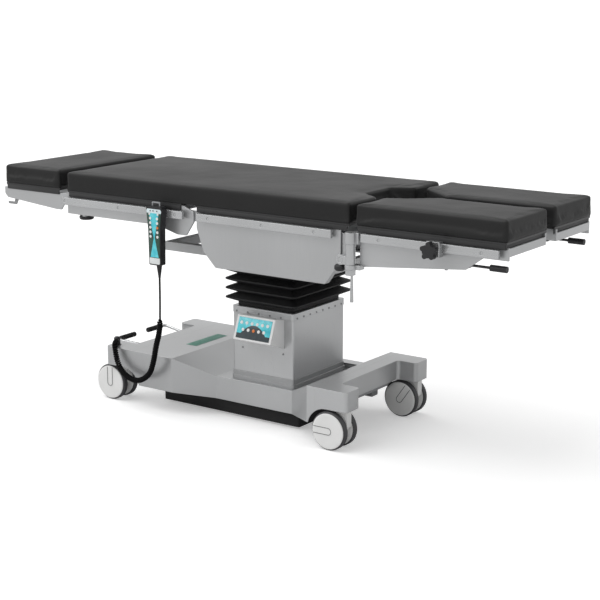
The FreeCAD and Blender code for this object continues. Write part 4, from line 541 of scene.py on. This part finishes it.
for point in loop.data.vertices:
    if point.co.z > SLOT_FOOT + 0.0001:
        point.co.x = math.copysign(SLOT_HALF, point.co.x)
        point.co.z = math.sqrt(DISC_RADIUS ** 2 - SLOT_HALF ** 2) - 0.003
bpy.ops.object.mode_set(mode="EDIT")
bpy.ops.mesh.select_all(action="SELECT")
bpy.ops.mesh.remove_doubles(threshold=0.0005)
bpy.ops.mesh.select_all(action="DESELECT")
bpy.ops.object.mode_set(mode="OBJECT")
for point in loop.data.vertices:
    point.select = point.co.z > 0.04
for rib in loop.data.edges:
    rib.select = all(loop.data.vertices[index].select for index in rib.vertices)
bpy.ops.object.mode_set(mode="EDIT")
bpy.ops.mesh.delete(type="EDGE_FACE")
bpy.ops.object.mode_set(mode="OBJECT")
bpy.ops.object.convert(target="CURVE")
loop = bpy.context.object
loop.data.bevel_depth = 0.0010
loop.data.bevel_resolution = 1
loop.data.use_fill_caps = True
bpy.ops.object.convert(target="MESH")
loop = bpy.context.object
settle(loop, slot_shade)
bpy.ops.object.select_all(action="DESELECT")
loop.select_set(True)
disc.select_set(True)
bpy.context.view_layer.objects.active = disc
bpy.ops.object.join()
SLOT_TURNS = {1: 0, 2: 40, 3: -90, 4: 35}
for number in range(1, 5):
    low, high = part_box(f"castor_wheels_{number}")
    middle = (low + high) / 2
    for side in (-1, 1):
        face_y = low.y if side < 0 else high.y
        turn = Matrix.Rotation(math.radians(SLOT_TURNS[number]), 4, "Y")
        if side > 0:
            turn = Matrix.Rotation(math.pi, 4, "Z") @ turn
        cap = disc.copy()
        cap.data = disc.data.copy()
        cap.name = f"wheel_disc_{number}_{'near' if side < 0 else 'far'}"
        cap.data.transform(Matrix.Translation((middle.x, face_y + 0.0008 * -side, middle.z)) @ turn)
        scene.collection.objects.link(cap)
        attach(cap, f"wheels_{number}")
bpy.data.objects.remove(disc)

# The brake pedals at the head end: bent bright rods in ears, with ribbed rubber grips.
bright_bar = brushed("bright bar", "c9cacb", "b8b9ba", (20, 20, 20), metallic=0.85, low=0.16, high=0.26,
                     lines=0.03)
dress(bright_bar, "brake_arm_near", "brake_arm_far")
grip_rubber = moulded("grip rubber", "1e1e1f", "151516", 0.55, 0.72, specular=0.3)
dress(grip_rubber, "brake_grip_near", "brake_grip_far")
black_trim = moulded("black trim", "252527", "1b1b1d", 0.42, 0.58, specular=0.4)
dress(black_trim, "cord_socket")

# The lift: a square ram in a guide, and over it the bellows, moulded black rubber in four sharp
# pleats, clipped to the column below and to the lift's plate above.
frame_paint = moulded("frame paint", "9b9d9f", "8a8c8e", 0.38, 0.5, grain=260.0)
dress(frame_paint, "lift_column", "tilt_cross")
carriage_paint = moulded("carriage paint", "c2c3c4", "b0b1b2", 0.36, 0.48, grain=260.0)
dress(carriage_paint, "carriage_frame")
PLEATS = 4
PLEAT_OUT = 0.0315
fold_low, fold_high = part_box("bellows")
bellows_middle = (fold_low + fold_high) / 2
valley_x = (fold_high.x - fold_low.x) / 2 - PLEAT_OUT
valley_y = (fold_high.y - fold_low.y) / 2 - PLEAT_OUT
collar = 0.013
pleat_rise = (fold_high.z - fold_low.z - collar) / PLEATS
bellows = new_piece("plane", "pleated_bellows", size=2,
                    location=(bellows_middle.x, bellows_middle.y, fold_low.z))
bpy.ops.transform.resize(value=(valley_x, valley_y, 1))
bpy.ops.object.transform_apply(location=True, rotation=True, scale=True)
bpy.ops.object.mode_set(mode="EDIT")
bpy.ops.mesh.select_all(action="SELECT")
bpy.ops.mesh.bevel(offset=0.016, segments=4, affect="VERTICES")
centre_now = [bellows_middle.x, bellows_middle.y, fold_low.z]


def lift_ring(rise, ratio_x, ratio_y):
    """Draws the selected ring up by a rise and widens or narrows it about the bellows' middle."""
    bpy.ops.mesh.extrude_region_move(TRANSFORM_OT_translate={"value": (0, 0, rise)})
    centre_now[2] += rise
    bpy.ops.transform.resize(value=(ratio_x, ratio_y, 1), center_override=tuple(centre_now))


lift_ring(collar, 1, 1)
wide_x = (valley_x + PLEAT_OUT) / valley_x
wide_y = (valley_y + PLEAT_OUT) / valley_y
for number in range(PLEATS):
    lift_ring(pleat_rise * 0.44, wide_x, wide_y)
    lift_ring(pleat_rise * 0.12, 1, 1)
    lift_ring(pleat_rise * 0.44, 1 / wide_x, 1 / wide_y)
bpy.ops.mesh.delete(type="FACE")
bpy.ops.mesh.select_all(action="SELECT")
bpy.ops.mesh.normals_make_consistent(inside=False)
bpy.ops.object.mode_set(mode="OBJECT")
apply_modifier(bellows, "BEVEL", width=0.0016, segments=2, limit_method="ANGLE", angle_limit=math.radians(35))
bellows_rubber = moulded("bellows rubber", "1a1a1b", "111112", 0.5, 0.68, specular=0.35, grain=300.0)
settle(bellows, bellows_rubber, smooth=30)
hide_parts("bellows")
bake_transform(bellows)
dress(bellows_rubber, "bellows")

# The top's steel: side plates, leg yokes and covers of satin sheet, and rails of finer brushed bar.
plate_sheet = brushed("brushed plate sheet", "bfc0c1", "b6b7b8", (0.10, 22, 22))
dress(plate_sheet, "seat_frame", "back_frame", "head_frame")
# Above this height the leg frame is painted near black and not metallic: painted shade of the narrow gap
# under the leg pads.
LEG_GAP_SHADE_LOW = 0.7235
leg_steel_and_gap_shade = brushed("brushed leg sheet and painted gap shade", "bfc0c1", "b6b7b8", (0.10, 22, 22))
leg_shader = leg_steel_and_gap_shade.node_tree.nodes["Principled BSDF"]
leg_height = add(leg_steel_and_gap_shade, "SeparateXYZ", {"Vector": place(leg_steel_and_gap_shade)}, out="Z")
in_gap_shade = sum_of(leg_steel_and_gap_shade, "GREATER_THAN", leg_height, LEG_GAP_SHADE_LOW)
below_gap_shade = sum_of(leg_steel_and_gap_shade, "SUBTRACT", 1.0, in_gap_shade)
leg_steel = leg_shader.inputs["Base Color"].links[0].from_socket
feed(leg_steel_and_gap_shade, leg_shader, {"Base Color": blend_colours(leg_steel_and_gap_shade, in_gap_shade, leg_steel, shade("232324"))})
feed(leg_steel_and_gap_shade, leg_shader, {"Metallic": sum_of(leg_steel_and_gap_shade, "MULTIPLY", below_gap_shade, SHEET_METALLIC)})
dress(leg_steel_and_gap_shade, "leg_frame_near", "leg_frame_far")
cover_sheet = brushed("satin side covers", "bfc0c1", "b2b3b4", (22, 22, 0.10), low=0.3, high=0.42)
dress(cover_sheet, "seat_covers")
rail_bar = brushed("brushed rails", "c6c7c8", "b6b7b8", (0.10, 30, 30), metallic=0.75, low=0.2, high=0.32)
dress(rail_bar, "seat_rails", "back_rails", "leg_rail_near", "leg_rail_far")
machined = brushed("machined fittings", "c4c5c6", "b3b4b5", (12, 12, 12), metallic=0.75, low=0.2, high=0.32)
dress(machined, "leg_yoke_near", "leg_yoke_far", "leg_lock_near", "leg_lock_far", "rail_clamp")
dress(black_trim, "back_knob", "clamp_knob", "leg_knob_near", "leg_knob_far", "leg_lever_near",
      "leg_lever_far")
lever_plastic = moulded("grey lever", "9a9b9c", "8a8b8c", 0.4, 0.5)
dress(lever_plastic, "head_lever")
# The boards' dark finish; the strips of painted gap shade below are given it too.
board_and_gap_shade = moulded("dark board and painted gap shade", "29292a", "1f1f20", 0.45, 0.6)
dress(board_and_gap_shade, "head_board", "back_board", "seat_board")

# Dark strips that hang under the long edges of each board and the foot ends of the legs, in the narrow
# gap between the pads and the steel below them: painted shade of that gap, in the boards' dark finish.
SHADE_STRIP_LOW = 0.7085
SHADE_STRIP_HIGH = 0.7240
SHADE_STRIP_THICK = 0.0026
FOOT_STRIP_IN = 0.030
SHADE_STRIPS = {
    "head": (-0.990, -0.739, (-0.2515, 0.2515)),
    "back": (-0.678, -0.184, (-0.2672, 0.2672)),
    "seat": (-0.116, 0.461, (-0.2697, 0.2697)),
    "leg_near": (0.502, 0.990, (-0.2757,)),
    "leg_far": (0.502, 0.990, (0.2757,)),
}
for body, (start_x, end_x, sides) in SHADE_STRIPS.items():
    shade_pieces = []
    for side_y in sides:
        shade_piece = new_piece("cube", f"edging_{body}", size=1,
                        location=((start_x + end_x) / 2, side_y, (SHADE_STRIP_LOW + SHADE_STRIP_HIGH) / 2),
                        scale=(end_x - start_x, SHADE_STRIP_THICK, SHADE_STRIP_HIGH - SHADE_STRIP_LOW))
        apply_modifier(shade_piece, "BEVEL", width=0.0005, segments=2)
        shade_pieces.append(shade_piece)
    if body.startswith("leg"):
        inner_y, outer_y = sorted((math.copysign(FOOT_STRIP_IN, sides[0]), sides[0]))
        shade_piece = new_piece("cube", f"edging_{body}", size=1,
                        location=(end_x, (inner_y + outer_y) / 2, (SHADE_STRIP_LOW + SHADE_STRIP_HIGH) / 2),
                        scale=(SHADE_STRIP_THICK, outer_y - inner_y, SHADE_STRIP_HIGH - SHADE_STRIP_LOW))
        apply_modifier(shade_piece, "BEVEL", width=0.0005, segments=2)
        shade_pieces.append(shade_piece)
    bpy.ops.object.select_all(action="DESELECT")
    for shade_piece in shade_pieces:
        shade_piece.select_set(True)
    bpy.context.view_layer.objects.active = shade_pieces[0]
    if len(shade_pieces) > 1:
        bpy.ops.object.join()
    gap_shade_strip = bpy.context.view_layer.objects.active
    gap_shade_strip.name = f"edging_{body}"
    settle(gap_shade_strip, board_and_gap_shade)
    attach(gap_shade_strip, body)

# The hand control: a black moulded case that hangs on the back rail by its hook, with a printed
# membrane on its face and two columns of domed keys.
case_top = 0.720
case_finish = finish("hand control case", specular=0.4)
height_now = add(case_finish, "SeparateXYZ", {"Vector": place(case_finish)}, out="Z")
on_bow = sum_of(case_finish, "GREATER_THAN", height_now, case_top + 0.0005)
case_grain = noise(case_finish, place(case_finish), 420.0, 2.0)
case_black = ramp(case_finish, case_grain, [(0.3, shade("1c1c1e")), (0.7, shade("262628"))])
close_finish(case_finish, blend_colours(case_finish, on_bow, case_black, shade("9fa1a3")), 0.45,
             bump(case_finish, case_grain, 0.12, 0.0004))
dress(case_finish, "pendant_case")
FACE_X = -0.259
FACE_Y = -0.314
FACE_OUTLINE = [
    (0.530, 0.0190), (0.534, 0.0215), (0.590, 0.0226), (0.645, 0.0236), (0.690, 0.0290), (0.706, 0.0310),
    (0.7115, 0.0275),
]
face = new_piece("grid", "hand_control_face", x_subdivisions=2, y_subdivisions=90, size=1,
                 location=(FACE_X, FACE_Y, 0), rotation=(math.pi / 2, 0, 0))
bpy.ops.object.transform_apply(location=True, rotation=True, scale=True)


def half_width(z):
    """Half the width of the hand control's face at a height, from the outline's steps."""
    for (low_z, low_half), (high_z, high_half) in zip(FACE_OUTLINE, FACE_OUTLINE[1:]):
        if z <= high_z:
            return low_half + (high_half - low_half) * (z - low_z) / (high_z - low_z)
    return FACE_OUTLINE[-1][1]


for point in face.data.vertices:
    share = point.co.z + 0.5
    point.co.z = FACE_OUTLINE[0][0] + share * (FACE_OUTLINE[-1][0] - FACE_OUTLINE[0][0])
    point.co.x = FACE_X + (point.co.x - FACE_X) * 2 * half_width(point.co.z)
apply_modifier(face, "SOLIDIFY", thickness=0.0008, offset=1)
apply_modifier(face, "BEVEL", width=0.0003, segments=2, limit_method="ANGLE", angle_limit=math.radians(50))
face_print = finish("hand control membrane", specular=0.5, coat=0.2)
face_axes = face_print.node_tree.nodes.new("ShaderNodeSeparateXYZ")
feed(face_print, face_axes, {"Vector": place(face_print, offset=(-FACE_X, 0, 0))})
high_up = face_axes.outputs["Z"]
across = sum_of(face_print, "ABSOLUTE", face_axes.outputs["X"])
waist = sum_of(face_print, "ABSOLUTE", sum_of(face_print, "SUBTRACT", high_up, 0.617))
glass_half = sum_of(face_print, "ADD", sum_of(face_print, "MULTIPLY", waist, 0.235), 0.002)
in_glass = sum_of(face_print, "LESS_THAN", across, glass_half)
mottle = noise(face_print, place(face_print), 60.0, 2.0)
cyan = ramp(face_print, mottle, [(0.35, shade("3ec6d6")), (0.65, shade("66dbe6"))])
green = ramp(face_print, mottle, [(0.35, shade("16382f")), (0.65, shade("22503f"))])
pattern = blend_colours(face_print, in_glass, green, cyan)
pale_top = sum_of(face_print, "GREATER_THAN", high_up, 0.698)
pattern = blend_colours(face_print, pale_top, pattern, shade("dfeef2"))
gap_line = sum_of(face_print, "LESS_THAN", high_up, 0.5525)
pattern = blend_colours(face_print, gap_line, pattern, shade("1b4a45"))
foot_field = sum_of(face_print, "LESS_THAN", high_up, 0.5505)
pattern = blend_colours(face_print, foot_field, pattern, shade("e6eaea"))
close_finish(face_print, pattern, 0.25, bump(face_print, mottle, 0.02, 0.0002))
settle(face, face_print)
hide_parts("pendant_keypad")
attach(face, "pendant")
KEY_HEIGHTS = (0.621, 0.636, 0.651, 0.666, 0.681, 0.695)
lamp_dark = moulded("signal lamps", "3a3238", "2b262a", 0.3, 0.4, grain=900.0, strength=0.05)
button = new_piece("cylinder", "button", vertices=24, radius=0.0046, depth=0.0010,
                   rotation=(math.pi / 2, 0, 0))
bpy.ops.object.transform_apply(rotation=True)
for side_face in button.data.polygons:
    side_face.select = side_face.normal.y < -0.9
bpy.ops.object.mode_set(mode="EDIT")
bpy.ops.mesh.inset(thickness=0.0011)
bpy.ops.transform.translate(value=(0, -0.0004, 0))
bpy.ops.mesh.inset(thickness=0.0016)
bpy.ops.transform.translate(value=(0, -0.0002, 0))
bpy.ops.object.mode_set(mode="OBJECT")
buttons = []
spots = [(side * 0.0145, z, 1.0, white_key) for z in KEY_HEIGHTS[:-1] for side in (-1, 1)]
spots += [(side * 0.0175, KEY_HEIGHTS[-1], 0.8, white_key) for side in (-1, 1)]
spots += [(x, 0.7055, 0.45, lamp_dark) for x in (-0.014, -0.002, 0.014)]
for x, z, size, paint in spots:
    pressed = button.copy()
    pressed.data = button.data.copy()
    spot = Matrix.Translation((FACE_X + x, FACE_Y - 0.0012, z))
    pressed.data.transform(spot @ Matrix.Diagonal((size, 1, size, 1)))
    pressed.data.materials.append(orange_key if (x > 0 and z == KEY_HEIGHTS[2]) else paint)
    scene.collection.objects.link(pressed)
    buttons.append(pressed)
bpy.data.objects.remove(button)
bpy.ops.object.select_all(action="DESELECT")
for pressed in buttons:
    pressed.select_set(True)
bpy.context.view_layer.objects.active = buttons[0]
bpy.ops.object.join()
buttons = bpy.context.object
buttons.name = "hand_control_keys"
settle(buttons)
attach(buttons, "pendant")

# The pads: blocks of firm foam in a black sheen cover, with rounded edges, a seam round each near
# its top, and no stitches in view. Each lies on its board and swells a little between its edges.
PAD_CAP = 0.0028
PAD_PULL = 0.002
PAD_UPRIGHT = 0.008
PAD_RIM = 0.0065


def vinyl(name, high):
    """The pads' cover: a fine leather grain, soft uneven dimples and a seam under the top edge."""
    made = finish(name, specular=0.22)
    skin = place(made)
    fine = add(made, "TexVoronoi", {"Vector": skin, "Scale": 620.0}, out="Distance")
    soft = noise(made, skin, 13.0, 3.0)
    clouds = noise(made, skin, 4.0, 3.0)
    colour = ramp(made, clouds, [(0.3, shade("1b1b1b")), (0.7, shade("222222"))])
    gloss = ramp(made, clouds, [(0.3, 0.46), (0.7, 0.56)])
    seam = sum_of(made, "SUBTRACT", add(made, "SeparateXYZ", {"Vector": skin}, out="Z"), high - 0.013)
    groove = sum_of(made, "MINIMUM", sum_of(made, "MULTIPLY", sum_of(made, "ABSOLUTE", seam), 900.0), 1.0)
    heights = sum_of(made, "ADD", sum_of(made, "MULTIPLY", soft, 1.6), sum_of(made, "MULTIPLY", fine, 0.05))
    heights = sum_of(made, "ADD", heights, sum_of(made, "MULTIPLY", groove, 0.10))
    return close_finish(made, colour, gloss, bump(made, heights, 0.30, 0.004))


def foam_block(name, plan, low, high, upright_round, rim_round):
    """A block of foam cut to a plan, a little small, with its upright edges and rims rounded."""
    shape = bmesh.new()
    foot = shape.faces.new([shape.verts.new((x, y, low)) for x, y in plan])
    raised = bmesh.ops.extrude_face_region(shape, geom=[foot])["geom"]
    tops = [v for v in raised if isinstance(v, bmesh.types.BMVert)]
    bmesh.ops.translate(shape, verts=tops, vec=(0, 0, high - PAD_PULL - low))
    bmesh.ops.recalc_face_normals(shape, faces=shape.faces)
    shape.normal_update()
    uprights = [e for e in shape.edges if abs(e.verts[0].co.z - e.verts[1].co.z) > 0.01]
    bmesh.ops.bevel(shape, geom=uprights, offset=upright_round, segments=4, profile=0.5, affect="EDGES")
    rims = [e for e in shape.edges if all(v.co.z > high - PAD_PULL - 0.0005 for v in e.verts)]
    bmesh.ops.bevel(shape, geom=rims, offset=rim_round, segments=4, profile=0.5, affect="EDGES")
    feet = [e for e in shape.edges if all(v.co.z < low + 0.0005 for v in e.verts)]
    bmesh.ops.bevel(shape, geom=feet, offset=rim_round * 0.4, segments=2, profile=0.5, affect="EDGES")
    mesh = bpy.data.meshes.new(name)
    shape.to_mesh(mesh)
    shape.free()
    pad = bpy.data.objects.new(name, mesh)
    scene.collection.objects.link(pad)
    return pad


def stuff(pad, low, voxel):
    """Swells the cover with the foam inside it: cloth under pressure, held down where it lies."""
    apply_modifier(pad, "REMESH", mode="VOXEL", voxel_size=voxel)
    held = pad.vertex_groups.new(name="held")
    held.add([v.index for v in pad.data.vertices if v.co.z < low + voxel * 0.6], 1.0, "REPLACE")
    cloth = pad.modifiers.new("stuffing", "CLOTH")
    cloth.settings.use_pressure = True
    cloth.settings.uniform_pressure_force = 4
    cloth.settings.effector_weights.gravity = 0
    cloth.settings.vertex_group_mass = "held"
    for number in range(1, 21):
        scene.frame_set(number)
    full = pad.evaluated_get(bpy.context.evaluated_depsgraph_get())
    swollen = [v.co.copy() for v in full.data.vertices]
    pad.modifiers.remove(cloth)
    for point, target in zip(pad.data.vertices, swollen):
        move = target - point.co
        if move.length > PAD_CAP:
            move *= PAD_CAP / move.length
        point.co += move
        point.co.z = max(point.co.z, low)
    scene.frame_set(1)
    apply_modifier(pad, "SUBSURF", levels=1, render_levels=1)
    for polygon in pad.data.polygons:
        polygon.use_smooth = True


def drawn_in(low, high):
    """The plan of a box from above, drawn in by what the pad will swell."""
    x0, x1 = low.x + PAD_PULL, high.x - PAD_PULL
    y0, y1 = low.y + PAD_PULL, high.y - PAD_PULL
    return [(x0, y0), (x1, y0), (x1, y1), (x0, y1)]


def mirrored(plan):
    """A plan on the other side of the table's middle line."""
    return [(x, -y) for x, y in plan][::-1]


head_low, head_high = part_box("head_pad")
head_cushion = foam_block("head_cushion", drawn_in(head_low, head_high), head_low.z, head_high.z,
                          PAD_UPRIGHT, PAD_RIM)
stuff(head_cushion, head_low.z, 0.005)
pad_top = head_high.z
pad_cover = vinyl("black pad cover", pad_top)
head_cushion.data.materials.append(pad_cover)
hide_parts("head_pad")
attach(head_cushion, "head")

# The main pad is one piece over the seat and the back; its foot end is cut out in the middle.
CUT_DEEP = 0.067
CUT_INNER = 0.069
CUT_OUTER = 0.112
back_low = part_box("back_pad")[0]
seat_low, seat_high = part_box("seat_pad")
x0, x1 = back_low.x + PAD_PULL, seat_high.x - PAD_PULL
y1 = seat_high.y - PAD_PULL
cut_x = seat_high.x - CUT_DEEP - PAD_PULL
half_plan = [(x1, CUT_OUTER + PAD_PULL), (x1, y1), (x0, y1)]
main_plan = half_plan + mirrored(half_plan)
main_plan += [(cut_x, -CUT_INNER - PAD_PULL), (cut_x, CUT_INNER + PAD_PULL)]
main_cushion = foam_block("main_cushion", main_plan, seat_low.z, seat_high.z, PAD_UPRIGHT, PAD_RIM)
stuff(main_cushion, seat_low.z, 0.006)
main_cushion.data.materials.append(pad_cover)
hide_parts("seat_pad", "back_pad", "pad_fold")
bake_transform(main_cushion)

# The two leg pads, each with its inner corner cut off beside the main pad's cut-out.
LEG_CUT = (0.137, 0.107)
for side in ("near", "far"):
    leg_low, leg_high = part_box(f"leg_pad_{side}")
    inner = min(abs(leg_low.y), abs(leg_high.y)) + PAD_PULL
    outer = max(abs(leg_low.y), abs(leg_high.y)) - PAD_PULL
    start_x, end_x = leg_low.x + PAD_PULL, leg_high.x - PAD_PULL
    plan = [(start_x, inner + LEG_CUT[1]), (start_x + LEG_CUT[0], inner), (end_x, inner)]
    plan += [(end_x, outer), (start_x, outer)]
    if side == "near":
        plan = mirrored(plan)
    leg_cushion = foam_block(f"leg_cushion_{side}", plan, leg_low.z, leg_high.z, PAD_UPRIGHT, PAD_RIM)
    stuff(leg_cushion, leg_low.z, 0.005)
    leg_cushion.data.materials.append(pad_cover)
    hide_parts(f"leg_pad_{side}")
    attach(leg_cushion, f"leg_{side}")

bpy.context.view_layer.update()
